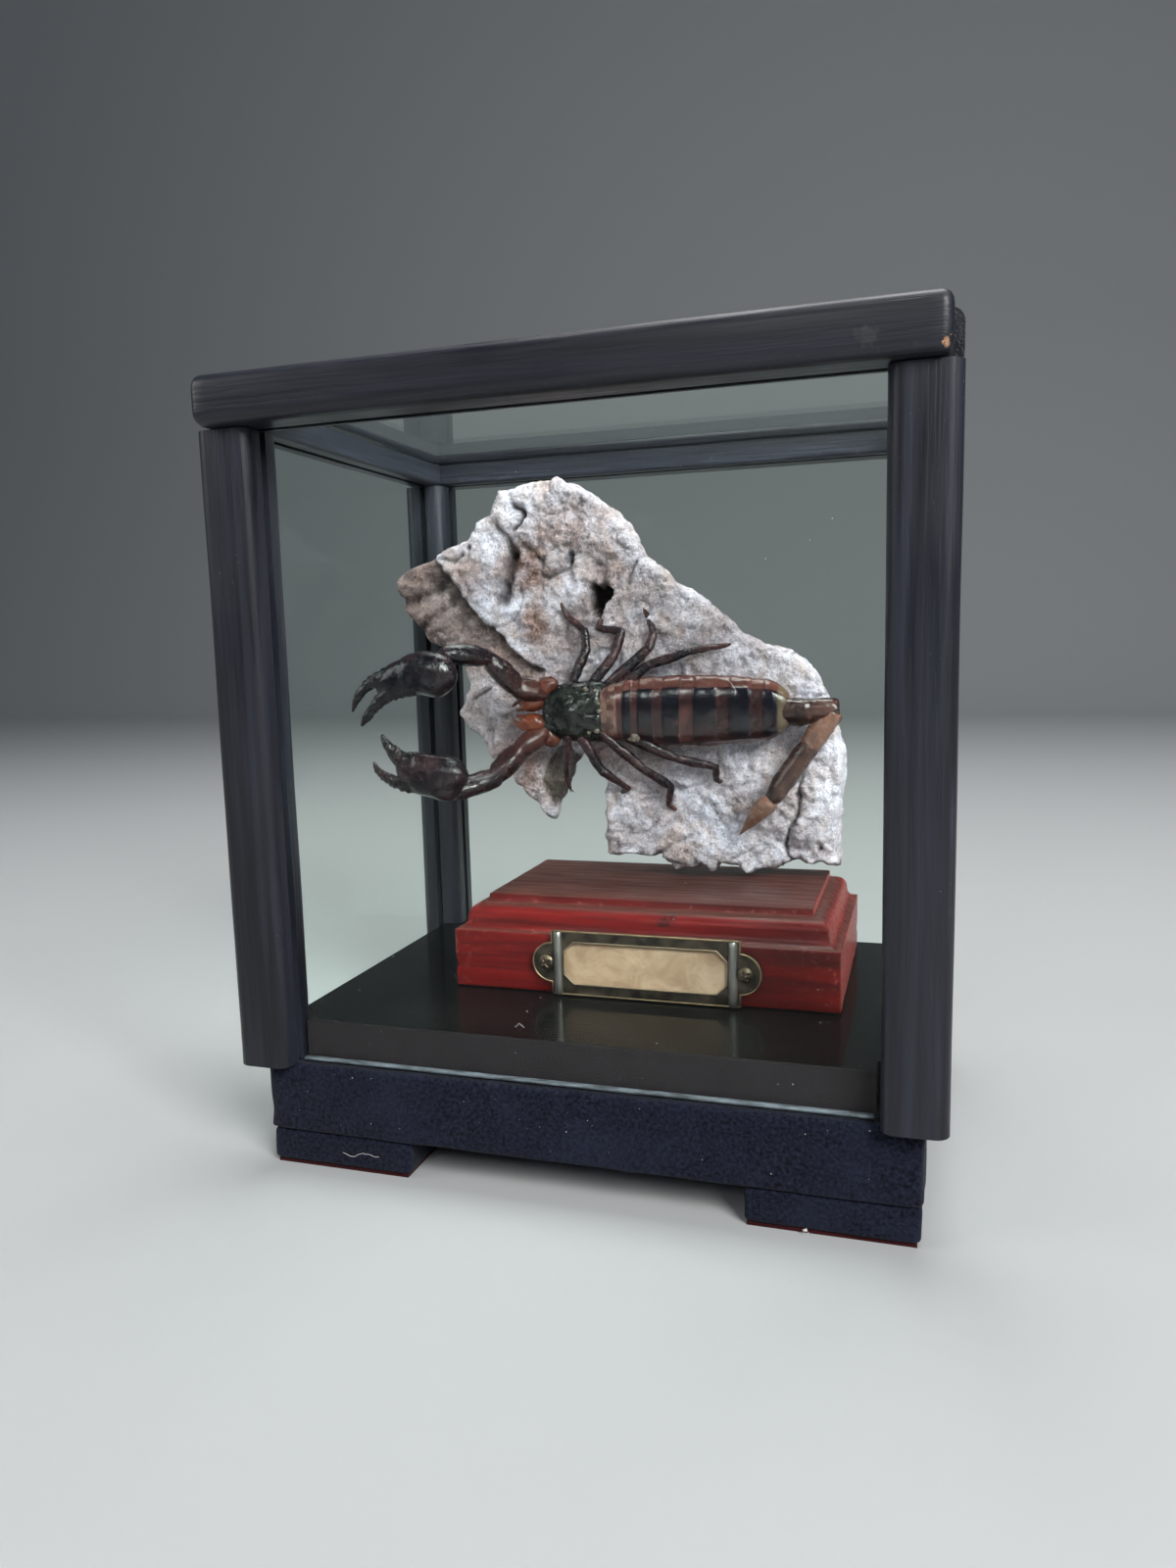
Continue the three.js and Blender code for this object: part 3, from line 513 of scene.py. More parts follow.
# %% The frame's own sizes, read back from its boxes
post_low, post_high = corner_box("post_front_left")
rail_low, rail_high = corner_box("top_rail_front")
side_low, side_high = corner_box("top_rail_right")
pane_low, pane_high = corner_box("glass_front")
top_low, top_high = corner_box("glass_top")
PLAY = 0.3
post_centre = (np.abs(post_low) + np.abs(post_high))[:2] / 2
groove_half = (pane_high - pane_low)[1] / 2 + PLAY
top_groove_half = 1 + PLAY
print("posts stand at", post_centre, "and are", np.round((post_high - post_low)[0], 2), "wide")


# %% Posts
def post(sign_x, sign_y):
    """The post's section carried up, with one groove towards each pane."""
    width = (post_high - post_low)[0]
    sides = [3 if sign_x > 0 else 1, 0 if sign_y > 0 else 2]
    groove = [(side, 0, groove_half) for side in sides]

    def section_at(depth):
        return bar_section(width, width, [POST_CORNER] * 4, groove, [depth, depth])

    length = post_high[2] - post_low[2]
    stations = bar_stations(length, 0.0, length, GROOVE_DEPTH, 60)
    rings, edge = worn(section_at, stations, 12.0, 3 + sign_x + 2 * sign_y)
    middle = (post_high[2] + post_low[2]) / 2
    return skin(rings + [sign_x * post_centre[0], sign_y * post_centre[1], middle], edge=edge)


SIDES = (("left", -1), ("right", 1))
ENDS = (("front", -1), ("back", 1))
posts = [
    piece(f"stained_post_{end}_{side}", post(sign_x, sign_y),
          [f"post_{end}_{side}"])
    for side, sign_x in SIDES for end, sign_y in ENDS
]


# %% Rails
def long_rail(sign_y):
    """The front or back rail: outer edges well rounded, the inner lower one nearly sharp."""
    depth, height = (rail_high - rail_low)[1:]
    centre = np.abs(rail_low + rail_high)[1:] / 2
    groove = [(0, centre[0] - post_centre[1], groove_half),
              (1, (top_low + top_high)[2] / 2 - centre[1], top_groove_half)]

    def section_at(sunk):
        return bar_section(depth, height, [3, 1.2, 3, 3], groove, [sunk, sunk * TOP_GROOVE_SHARE])

    stations = bar_stations(rail_high[0] - rail_low[0], 2.2, pane_high[0] + PLAY, GROOVE_DEPTH, 70)
    rings, edge = worn(section_at, stations, 10.2, 11 + sign_y)
    inward, up, along = np.moveaxis(rings, -1, 0)
    placed = np.stack([-along * sign_y, sign_y * (centre[0] - inward), up + centre[1]], axis=-1)
    return skin(placed, edge=edge)


def short_rail(sign_x):
    """A side rail, which sits between the long ones and is grooved from end to end."""
    width, length, height = side_high - side_low
    centre = np.abs(side_low + side_high) / 2
    groove = [(0, post_centre[0] - centre[0], groove_half),
              (3, -((top_low + top_high)[2] / 2 - centre[2]), top_groove_half)]

    def section_at(sunk):
        return bar_section(width, height, [1.2, 3, 3, 3], groove, [sunk, sunk * TOP_GROOVE_SHARE])

    stations = bar_stations(length, 0.0, length, GROOVE_DEPTH, 40)
    rings, edge = worn(section_at, stations, 9.4, 21 + sign_x)
    across, z, along = np.moveaxis(rings, -1, 0)
    placed = np.stack([sign_x * (centre[0] + across), along, z + centre[2]], axis=-1)
    return skin(placed, edge=edge)


rails = [
    piece(f"stained_rail_{end}", long_rail(sign_y), [f"top_rail_{end}"])
    for end, sign_y in ENDS
]
side_rails = [
    piece(f"stained_rail_{side}", short_rail(sign_x), [f"top_rail_{side}"])
    for side, sign_x in SIDES
]

crisp(posts + rails + side_rails)

# %% [markdown]
# ### Black stain on wood
# Close up the stain is blue-black, with fine pores drawn out along each bar and a low sheen that
# breaks up where it is rubbed. The grain must follow the bar, so the same recipe is made three
# times, with the pattern stretched up, across or front to back. Along the rounded edges the colour
# is lighter and bluish, partly thinner stain and partly a painted sheen, and near its right end the
# front rail has lost a chip, which shows the bare wood.


# %% Stained wood
CHIP, SMUDGE = (80.4, -62.5, 179.4), (66.1, -62.5, 182.4)


def stained_wood(direction, stretch, light):
    made, recipe, shader = finish(f"black stain, {direction}", Specular_IOR_Level=0.32,
                                  Coat_Weight=0.15, Coat_Roughness=0.25)
    where = recipe.place(stretch)
    wood = use(recipe, grain, Where=where, Fineness=1.0)
    dust = use(recipe, specks, Where=recipe.place(), Amount=0.12)["Specks"]
    colour = recipe.blend(wood["Streaks"], (0.0038, 0.0044, 0.0075, 1), light)
    # Painted sheen, partly thinner stain: the rounded edges are coloured lighter and bluish, like
    # the light strips they catch.
    thin = recipe.sum("MULTIPLY", recipe.mask("edge"),
                      recipe.between(wood["Pores"], 0, 1, 0.2, 0.75))
    colour = recipe.blend(thin, colour, (0.04, 0.045, 0.065, 1))
    scuffs = recipe.between(recipe.cloud(recipe.place(), 420.0, 6, 0.0, 0.7), 0.6, 0.66)
    bare = recipe.sum("MULTIPLY", scuffs, recipe.mask("edge"))
    colour = recipe.blend(recipe.sum("MULTIPLY", bare, 0.25), colour, (0.16, 0.13, 0.13, 1))
    for spot, reach, tone in ((CHIP, 1.5, (0.5, 0.28, 0.16, 1)),
                              (SMUDGE, 2.0, (0.022, 0.024, 0.028, 1))):
        colour = recipe.blend(recipe.stain_at(spot, reach), colour, tone)
    colour = recipe.blend(recipe.sum("MULTIPLY", dust, 0.5), colour, (0.45, 0.46, 0.5, 1))
    smudge = recipe.cloud(recipe.place(), 35.0, 3)
    shine = recipe.sum("ADD", recipe.between(smudge, 0.35, 0.65, 0.34, 0.5),
                       recipe.sum("MULTIPLY", wood["Pores"], 0.1))
    recipe.put(shader.inputs["Base Color"], colour)
    recipe.put(shader.inputs["Roughness"],
               recipe.sum("ADD", shine, recipe.sum("MULTIPLY", bare, 0.2)))
    relief = recipe.sum("ADD", wood["Pores"], recipe.sum("MULTIPLY", wood["Streaks"], 1.5))
    recipe.put(shader.inputs["Normal"], recipe.relief(relief, 0.5, 0.08))
    return made


# The lighter grain tone differs per set of bars, lightest on the posts and darkest on the long
# rails: partly grain, partly a painted sheen for how much light each set throws back.
dress(stained_wood("upright", (1, 1, 0.04), (0.018, 0.02, 0.03, 1)), *posts)
dress(stained_wood("across", (0.04, 1, 1), (0.012, 0.013, 0.02, 1)), *rails)
dress(stained_wood("front to back", (1, 0.04, 1), (0.014, 0.016, 0.025, 1)), *side_rails)

# %% [markdown]
# ## Plinth, feet and felt
# The plinth and its feet are covered in navy-black flock, a short velvety fibre: it has hardly a
# highlight, its edges are soft and a little wavy, and it holds pale specks and lint. The shapes
# are rounded boxes, laid as rings with a waver in them, because a straight edge would look bare.


# %% Rounded, wavy boxes
CORNER_DRAW = 0.42


def soft_box(low, high, edge, waver, seed, step=3.0):
    """Rings up a box: a rounded rectangle that draws in by a quarter circle at both ends."""
    low, high = np.asarray(low, float), np.asarray(high, float)
    size = high - low
    turn = np.linspace(0, np.pi / 2, 5)
    lower = np.column_stack([edge * (1 - np.sin(turn)), edge * (1 - np.cos(turn))])
    rows = max(3, int(size[2] / step))
    sides = np.column_stack([np.zeros(rows), np.linspace(edge, size[2] - edge, rows)])
    upper = np.column_stack([lower[::-1, 0], size[2] - lower[::-1, 1]])
    profile = np.vstack([[[edge * 3, 0]], lower, sides[1:-1], upper, [[edge * 3, size[2]]]])
    half = size[:2] / 2
    count = 4 * int(size[:2].sum() / step)
    angle = np.linspace(0, 2 * np.pi, count, endpoint=False)
    square = np.column_stack([np.cos(angle), np.sin(angle)])
    square /= np.abs(square).max(axis=1)[:, None]
    share = edge / half.min()
    near = np.clip((np.abs(square).min(axis=1) - 1 + share) / share, 0, 1)
    corner = 1 - CORNER_DRAW * near
    corner = 1 - (1 - corner) * edge / half.min()
    inset, height = profile[:, :1], profile[:, 1:]
    outline = square[None] * (half - inset)[:, None] * corner[None, :, None]
    rings = np.concatenate([outline, np.broadcast_to(height[..., None], outline.shape[:2] + (1,))],
                           axis=-1)
    rings = rings + [*(low[:2] + half), low[2]]
    middle = (low + high) / 2
    bulge = 1 - waver * (0.5 + 0.5 * rough(rings, 11, 3, seed)) / half.min()
    rings[..., :2] = middle[:2] + (rings[..., :2] - middle[:2]) * bulge[..., None]
    return skin(rings)


plinth_low, plinth_high = corner_box("plinth")
shape = soft_box(plinth_low, plinth_high, 1.0, 0.5, 1)
flocked = [piece("flocked_plinth", shape, ["plinth"])]
for end, sign_y in ENDS:
    for side, sign_x in SIDES:
        low, high = corner_box(f"foot_{end}_{side}")
        shape = soft_box(low, high, 0.9, 0.5, 4 + sign_x + 2 * sign_y, 1.5)
        flocked.append(piece(f"flocked_foot_{end}_{side}", shape, [f"foot_{end}_{side}"]))


# %% Flock and felt
def fibres(name, dark, light, lint, fineness):
    """Short standing fibre: a speckle of two tones, a soft sheen, and lint caught in it."""
    made, recipe, shader = finish(name, Roughness=1.0, Sheen_Weight=0.06, Sheen_Roughness=0.5,
                                  Specular_IOR_Level=0.08)
    pile = use(recipe, grit, Where=recipe.place(), Scale=fineness)
    colour = recipe.blend(recipe.between(pile["Height"], 0.36, 0.7), dark, light)
    thin = recipe.between(recipe.cloud(recipe.place(), 70.0, 4, 0.5), 0.45, 0.7, 0, 0.4)
    colour = recipe.blend(thin, colour, light)
    caught = use(recipe, specks, Where=recipe.place(), Amount=lint)["Specks"]
    colour = recipe.blend(recipe.sum("MULTIPLY", caught, 0.35), colour, (0.4, 0.4, 0.43, 1))
    recipe.put(shader.inputs["Base Color"], colour)
    recipe.put(shader.inputs["Normal"], recipe.relief(pile["Height"], 0.6, 0.3))
    return made


dress(fibres("navy black flock", (0.0016, 0.002, 0.0048, 1), (0.017, 0.021, 0.039, 1), 0.1,
             1150.0), *flocked)
pads = [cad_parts[f"felt_pad_{end}_{side}"] for end, _ in ENDS for side, _ in SIDES]
dress(fibres("dark red felt", (0.012, 0.0015, 0.002, 1), (0.055, 0.007, 0.009, 1), 0.1, 2200.0),
      *pads)

# %% [markdown]
# ## Floor board
# The board inside is polished black and mirrors the block, while its cut edge is dull and dusty.
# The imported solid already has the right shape, so only its finish changes: the roughness reads
# which way the surface faces, and a faint haze and dust break the mirror.

# %% Polished board
made, recipe, shader = finish("polished black board", IOR=1.2)
upwards = recipe.between(recipe.facing("Z"), 0.5, 0.9)
dust = use(recipe, specks, Where=recipe.place(), Amount=0.16)["Specks"]
haze = recipe.cloud(recipe.place(), 45.0, 5)
top_colour = recipe.blend(recipe.between(haze, 0.45, 0.8, 0, 0.5), (0.002, 0.0025, 0.0025, 1),
                          (0.01, 0.009, 0.009, 1))
edge_tone = use(recipe, grit, Where=recipe.place(), Scale=900.0)
edge_colour = recipe.blend(edge_tone["Tone"], (0.004, 0.0035, 0.004, 1), (0.024, 0.019, 0.022, 1))
colour = recipe.blend(upwards, edge_colour, top_colour)
colour = recipe.blend(recipe.sum("MULTIPLY", dust, 0.5), colour, (0.4, 0.4, 0.4, 1))
recipe.put(shader.inputs["Base Color"], colour)
mirror = recipe.between(haze, 0.3, 0.8, 0.06, 0.2)
recipe.put(shader.inputs["Roughness"], recipe.blend(upwards, (0.6, 0.6, 0.6, 1), mirror))
dull_height = recipe.sum("MULTIPLY", edge_tone["Height"], recipe.sum("SUBTRACT", 1.0, upwards))
recipe.put(shader.inputs["Normal"], recipe.relief(dull_height, 0.3, 0.05))
dress(made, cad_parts["floor_board"])
print("board finished")

# %% [markdown]
# ## Panes
# Each pane is plain glass, 2 mm thick and a little green. Its index is set below that of real
# glass, which keeps mirrored light weak. Clear glass needs only transmission and an index, but
# rays from lamps would then stop at it and leave the rock in the dark. So a Light Path node swaps
# in a transparent shader for those rays alone. Dust sits on the panes as real flecks, further on,
# because the glass itself stays clear.

# %% Glass
made, recipe, shader = finish(
    "clear pane", Base_Color=(0.94, 0.985, 0.96, 1), Roughness=0.0, Transmission_Weight=1.0,
    IOR=1.13)
lamp_ray = recipe.node("LightPath").outputs["Is Shadow Ray"]
clear = recipe.node("BsdfTransparent", {"Color": (0.95, 0.985, 0.97, 1)})
swap = recipe.node("MixShader", {0: lamp_ray, 1: shader.outputs["BSDF"], 2: clear.outputs["BSDF"]})
recipe.put(made.node_tree.nodes["Material Output"].inputs["Surface"], swap.outputs["Shader"])
dress(made,
      *[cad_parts[f"glass_{name}"] for name in ("front", "back", "left", "right", "top")])
print("panes:", made.name)

# %% [markdown]
# ## Red block
# The block is turned mahogany: from its base a plain side rises to a small cove, a rounded step
# and a flat top. The moulding runs round all four sides, so its profile is one curve of inset
# against height, carried round a rectangle. The edges are slightly eased and knocked about.


# %% Moulded block
block_low, block_high = corner_box("display_block")


def moulding_profile():
    """Inset and height up the side: plain face, cove, half round and a small square step."""
    foot = [(2.5, 0), (0.35, 0), (0.1, 0.12), (0, 0.4)]
    face = [(0, height) for height in np.linspace(2, 15.0, 12)]
    turn = np.linspace(0, np.pi / 2, 9)
    cove = [(2.7 * np.sin(t), 17.75 - 2.4 * np.cos(t)) for t in turn]
    rounded = [(2.9 + 3.8 * (1 - np.cos(t)), 18.75 + 3.2 * np.sin(t)) for t in turn]
    step = [(7.2, 22.2), (7.32, 22.4), (7.32, 23.6), (7.45, 23.85), (7.75, 23.95), (12, 23.95)]
    return np.array(foot + face + cove + rounded + step)


def rectangle_round(half, corner, step):
    """Points round a rectangle with small quarter-round corners, evenly spaced along the sides."""
    outline = []
    for side in range(4):
        start = side * np.pi / 2
        along = np.array([np.cos(start), np.sin(start)])
        out = np.array([along[1], -along[0]])
        reach, run = abs(out @ half), abs(along @ half) - corner
        count = max(2, int(2 * run / step))
        steps = np.linspace(-run, run, count, endpoint=False)
        outline.append(along * steps[:, None] + out * reach)
        centre = along * run + out * (reach - corner)
        outline.append(arc(centre, corner, start - np.pi / 2, 4)[:-1])
    return np.vstack(outline)


def moulded_block():
    """The profile carried round: each level is the outline, drawn in by the profile's inset."""
    profile = moulding_profile()
    half = (block_high - block_low)[:2] / 2
    outline = rectangle_round(half, 0.5, 2.4)
    inset, height = profile.T
    rings = outline[None] * (1 - inset[:, None, None] / half)
    level = np.broadcast_to(height[:, None, None], rings.shape[:2] + (1,))
    rings = np.concatenate([rings, level], axis=-1)
    rings += [*(block_low[:2] + half), block_low[2]]
    knocks = 0.16 * ease((noise(rings, 2.6, 5) - 0.62) * 4)
    corners = np.abs(outline / half).min(axis=1) ** 6
    middle = (block_low + block_high) / 2
    pull = 1 - (knocks * (0.4 + 2 * corners[None]))[..., None] / half.min()
    rings[..., :2] = middle[:2] + (rings[..., :2] - middle[:2]) * pull
    arris = np.exp(-(((height - 22.4) / 0.5) ** 2)) + np.exp(-(((height - 15.2) / 0.5) ** 2))
    arris = np.clip(arris[:, None] + corners[None], 0, 1)
    return skin(rings, edge=arris)


block = piece("moulded_block", moulded_block(), ["display_block"])

# %% Mahogany
made, recipe, shader = finish("red mahogany polish", Specular_IOR_Level=0.22)
wood = use(recipe, grain, Where=recipe.place((0.05, 0.8, 1.0)), Fineness=0.9)
bands = recipe.cloud(recipe.place((0.08, 0.6, 1.0)), 95.0, 3, 0.4)
red = recipe.blend(recipe.between(bands, 0.35, 0.7), (0.17, 0.0045, 0.004, 1),
                   (0.06, 0.0025, 0.0025, 1))
red = recipe.blend(recipe.sum("MULTIPLY", wood["Streaks"], 0.75), red, (0.03, 0.0035, 0.0035, 1))
fine_lines = recipe.cloud(recipe.place((0.03, 0.8, 1.0)), 900.0, 4, 0.3)
fine_lines = recipe.between(fine_lines, 0.5, 0.66, 0, 0.55)
red = recipe.blend(fine_lines, red, (0.022, 0.003, 0.003, 1))
for knot in ((14.5, block_low[1] + 1, 57.5), (15.5, block_low[1] + 4, 60.5)):
    red = recipe.blend(recipe.sum("MULTIPLY", recipe.stain_at(knot, 3.2), 0.8), red,
                       (0.012, 0.003, 0.003, 1))
upwards = recipe.between(recipe.facing("Z"), 0.75, 0.98)
brown = recipe.blend(wood["Streaks"], (0.045, 0.016, 0.012, 1), (0.075, 0.026, 0.018, 1))
colour = recipe.blend(recipe.sum("MULTIPLY", upwards, 0.85), red, brown)
# Painted light: faces turned to the right are coloured paler pink, as if lit from that side.
painted_light_right = recipe.between(recipe.facing("X"), 0.6, 0.95)
colour = recipe.blend(recipe.sum("MULTIPLY", painted_light_right, 0.5), colour, (0.3, 0.07, 0.06, 1))
rubbed = recipe.between(recipe.cloud(recipe.place(), 600.0, 5, 0, 0.7), 0.56, 0.66)
rubbed = recipe.sum("MULTIPLY", rubbed, recipe.mask("edge"))
colour = recipe.blend(recipe.sum("MULTIPLY", rubbed, 0.3), colour, (0.5, 0.16, 0.12, 1))
dust = use(recipe, specks, Where=recipe.place(), Amount=0.1)["Specks"]
colour = recipe.blend(recipe.sum("MULTIPLY", dust, 0.4), colour, (0.5, 0.36, 0.34, 1))
recipe.put(shader.inputs["Base Color"], colour)
recipe.put(shader.inputs["Roughness"], recipe.between(wood["Pores"], 0, 1, 0.3, 0.5))
recipe.put(shader.inputs["Normal"], recipe.relief(wood["Pores"], 0.25, 0.05))
dress(made, block)
print("block finished")

# %% [markdown]
# ## The rock
# The rock is a split slab with a pale, gritty crust. At the left a browner lobe lies behind the
# crust's sharp ledge and runs down into a spike. Sculpting would give such a shape by hand; here
# it is two sheets over a fine grid, clipped to the slab's outline and sewn together at the rim.
# The height of each point is a sum of plain terms: slow lumps, the ledge, bosses, cracks and pits.
# Every outline and crack is a list of places read off the specimen, in millimetres across and up.


# %% Distances to outlines and lines
def off_line(points, path, closed=False):
    """Distance from each point to the nearest place on a path of straight pieces."""
    start = np.asarray(path, float)
    along = np.roll(start, -1, axis=0) - start
    if not closed:
        start, along = start[:-1], along[:-1]
    gap = points[..., None, :] - start
    share = np.clip((gap * along).sum(axis=-1) / (along**2).sum(axis=-1), 0, 1)
    return np.linalg.norm(gap - share[..., None] * along, axis=-1).min(axis=-1)


def within(points, outline):
    """Distance to a closed outline, counted positive inside, where a level ray crosses it an odd
    number of times."""
    start = np.asarray(outline, float)
    end = np.roll(start, -1, axis=0)
    x, z = points[..., :1], points[..., 1:]
    straddles = (start[:, 1] > z) != (end[:, 1] > z)
    rise = end[:, 1] - start[:, 1]
    rise = np.where(rise == 0, 1e-9, rise)
    cut = start[:, 0] + (z - start[:, 1]) * (end[:, 0] - start[:, 0]) / rise
    odd = (straddles & (x < cut)).sum(axis=-1) % 2 == 1
    return np.where(odd, 1, -1) * off_line(points, outline, closed=True)


def flat(x, z):
    return np.stack([x, z, np.zeros_like(x)], axis=-1)


def rock_front(x, z):
    """Depth of the slab's face: it leans back to the right, with slow lumps of two sizes."""
    return 22.6 + 0.1 * x - (3.4 * noise(flat(x, z), 17) + 1.8 * noise(flat(x + 40, z), 7.5))


print("face at the middle:", round(float(rock_front(np.array(0.0), np.array(109.0))), 2), "mm")

# %% The slab's outline, its ledge, hole, bosses and cracks
ROCK_EDGE = [
    (-30, 173.8), (-33.6, 173.2), (-38.9, 171.5), (-41, 168), (-41.8, 165), (-45.6, 163.4),
    (-48, 161.3), (-49.4, 157.8), (-54.1, 157.1), (-57.8, 155.6), (-62.2, 153.5), (-66.8, 151.7),
    (-70.6, 150), (-72.3, 147.4), (-72.4, 144.5), (-70.9, 142.1), (-70.4, 139.2), (-68.4, 135.7),
    (-65.3, 132.4), (-63, 129.5), (-59.7, 128.4), (-57.3, 126.8), (-54.1, 124.4), (-52.7, 121.5),
    (-51.7, 116.2), (-52.5, 111.9), (-54.2, 108.4), (-53.4, 105.2), (-49.3, 101.6),
    (-46.4, 97.2), (-45, 94.2), (-42.6, 91.7), (-40.2, 89.3), (-38.6, 86.6), (-34.9, 84),
    (-31.9, 81.5), (-29.1, 77.8), (-27.5, 75.8), (-25.8, 76.9), (-24.5, 82.6), (-22, 88.4),
    (-19.8, 93.4), (-17.4, 96.6), (-15, 96.5), (-10.5, 90), (-10.8, 82), (-11, 72),
    (-11.4, 66.8), (-7.1, 66.2), (-1, 66.6), (4.4, 66.3), (6.3, 64), (9.1, 61.7), (12, 62.9),
    (16.8, 63.3), (19.5, 61.9), (22.4, 64.6), (26, 64), (29.5, 61.6), (32.3, 62.7), (37.5, 63.3),
    (41.6, 65.5), (43.7, 65.8), (46.4, 64.6), (47.2, 63.8), (50.4, 65.5), (52.3, 64.8), (55, 64),
    (56.2, 66), (55.4, 69.6), (55.2, 76.5), (56.1, 87.5), (56.3, 98.4), (54.6, 103),
    (52.6, 109.2), (49.3, 117), (46, 122.5), (39.8, 125.8), (31, 128.6), (27.5, 131.4),
    (19.8, 139), (15.8, 141.6), (10.4, 145.1), (5.8, 148.6), (2.6, 151.3), (0.1, 155.9),
    (-2.8, 161), (-5.8, 163.7), (-9.8, 167.4), (-14, 170), (-17.5, 172.4), (-20.9, 173.6),
    (-25.1, 173.9),
]
CRUST_EDGE = [
    (-30, 180), (-41, 172), (-50, 163), (-58.4, 157), (-57.8, 152.7), (-56.1, 151),
    (-54.2, 147.6), (-51.4, 143.3), (-48.6, 139.6), (-44.4, 135), (-42.1, 133.2), (-38.7, 130.3),
    (-34.6, 125.2), (-30.3, 122.3), (-27.2, 120.8), (-27.4, 114), (-22, 106), (-16.4, 98),
    (-15, 90), (-15, 55), (62, 55), (62, 130), (0, 180),
]
HOLE_EDGE = [
    (-13.5, 144.5), (-12.4, 144.9), (-11, 143.9), (-9.8, 144.7), (-7.6, 142.9), (-6.1, 142.1),
    (-6.9, 140.5), (-8.3, 139.4), (-9.3, 137.3), (-9.9, 134.6), (-12.3, 134.7), (-13.4, 137.4),
    (-13.9, 140.1),
]
THROAT_EDGE = [(-9.6, 142.4), (-8.4, 143.2), (-7.3, 142.3), (-7.6, 140.6), (-8.9, 140.2)]
# Outline of a facet by the lower spike that turns away from the lamps; it is sunk and painted in
# shade.
SHADED_FACET_EDGE = [(-25.1, 98.3), (-22.4, 99.7), (-18.7, 96.6), (-17.6, 94.5), (-20.4, 87.4),
             (-23.5, 83), (-26.2, 80.1), (-27.9, 83), (-28.6, 88.8), (-27.6, 93.1)]
# Across, up, half width, half height, how proud
BOSSES = [
    (-30.5, 137, 9, 9.5, 1.3), (-29, 133.5, 5.5, 6.5, 1.2), (-24, 160, 12, 8, 1.2),
    (-43, 149, 9, 9, 1.4), (-47, 143, 6, 7, 0.8), (-20, 170, 13, 5, 1.0), (16, 68, 12, 6, 1.3),
    (48, 77, 7, 13, 1.3), (30, 70, 9, 7, 0.9), (-4, 74, 8, 9, 0.8), (-12, 128, 8, 6, 0.8),
    (12, 134, 11, 8, 0.9), (-58, 136, 7, 5, 1.4), (-67, 145.5, 6, 3.5, 1.5),
    (-62, 150, 9, 3, 1.2), (-50, 124, 9, 7, 1.0), (-45, 110, 9, 9, 1.6), (-38, 97, 8, 9, 1.2),
    (-31, 87, 5, 7, 1.0), (-66, 137, 5, 3, 1.0),
]
# Line, half width, depth, darkness of the painted shade in the crack
CRACKS = [
    ([(-34.3, 166.4), (-32.5, 165.5), (-31.7, 164.1), (-32.3, 162.2), (-33.5, 160.6),
      (-34.5, 160.1)], 0.75, 3.2, 0.95),
    ([(-40.5, 162.5), (-38.2, 159.8), (-36.2, 156.5), (-35.8, 153.6)], 1.0, 1.6, 0.6),
    ([(-36, 153), (-36.4, 148.1), (-37.9, 144.3), (-39, 140.6)], 1.7, 3.4, 0.9),
    ([(-33, 156.5), (-29.5, 153.5), (-27, 151)], 0.9, 1.2, 0.6),
    ([(-26, 146.5), (-22.5, 148), (-19.6, 149)], 0.9, 1.6, 0.75),
    ([(1.4, 151.5), (-0.8, 148.4), (-2, 145.7), (-2.6, 143.6)], 0.5, 1.3, 0.6),
    ([(45, 94), (45, 91.1), (44.2, 85.5), (44.4, 82.5), (43.7, 78.3), (41.8, 75.8), (40.7, 70.8),
      (41, 67.4),
      (43.6, 65.4)], 0.42, 1.5, 0.9),
    ([(21.4, 82.4), (20.6, 81.2), (21.9, 79.6), (23.3, 76.2), (24.7, 73.9)], 0.25, 0.8, 0.6),
    ([(26.1, 80.2), (27.4, 79), (26.6, 77.3)], 0.3, 0.7, 0.5),
    ([(16.4, 81.8), (17.8, 79.8)], 0.3, 0.6, 0.5),
    ([(26, 66.5), (30, 68.5), (33, 70.6), (36, 71)], 0.3, 0.6, 0.5),
    ([(4, 66.5), (8.5, 70.5), (14, 72.5)], 0.6, 0.9, 0.35),
    ([(-57, 153.5), (-52.5, 152), (-49.6, 153.6)], 0.6, 1.2, 0.8),
    ([(-69, 141), (-62, 143.5), (-55.5, 147)], 1.5, 1.7, 0.5),
    ([(-64, 133), (-58, 138.5), (-52, 142)], 1.2, 1.5, 0.45),
    ([(-48, 113), (-46, 114.5), (-44, 115.8)], 0.6, 1.2, 0.8),
    ([(-28.6, 162.3), (-26.9, 163.1), (-24, 164), (-20.6, 164.6)], 0.25, 0.35, 0.55),
]
# Across, up, half width, depth
PITS = [(-19.4, 151, 1.5, 5.0), (-18.9, 152.8, 1.1, 3.5), (-13.5, 157, 0.9, 1.0),
        (-12, 155, 0.7, 0.8), (53, 121, 0.8, 0.9), (50, 70, 0.9, 1.0), (-47.5, 155.5, 0.9, 0.9)]
HOLE_DEPTH = 8.5
GRID_ACROSS, GRID_UP = (-74, 59), (60.5, 175.5)
print(len(ROCK_EDGE), "places round the edge,", len(CRACKS), "cracks,", len(BOSSES), "bosses")


# %% Broken facets
def facets(x, z, size, steepness, seed):
    """Broken faces: each cell has a tilted plane that sinks with the square of the distance from
    the cell's middle, and the highest plane wins, so neighbours meet in a sharp line."""
    cell_x, cell_z = np.floor(x / size), np.floor(z / size)
    highest = np.full_like(x, -1e9)
    for step_x, step_z in itertools.product((-1, 0, 1), repeat=2):
        i, j = cell_x + step_x, cell_z + step_z
        off_x = x / size - i - 0.15 - 0.7 * lattice(i, j, seed)
        off_z = z / size - j - 0.15 - 0.7 * lattice(i, j, seed + 1)
        tilt = (lattice(i, j, seed + 2) - 0.5) * off_x + (lattice(i, j, seed + 3) - 0.5) * off_z
        plane = steepness * tilt + 0.35 * lattice(i, j, seed + 4) - 0.55 * (off_x**2 + off_z**2)
        highest = np.maximum(highest, plane)
    return highest * size * 0.3


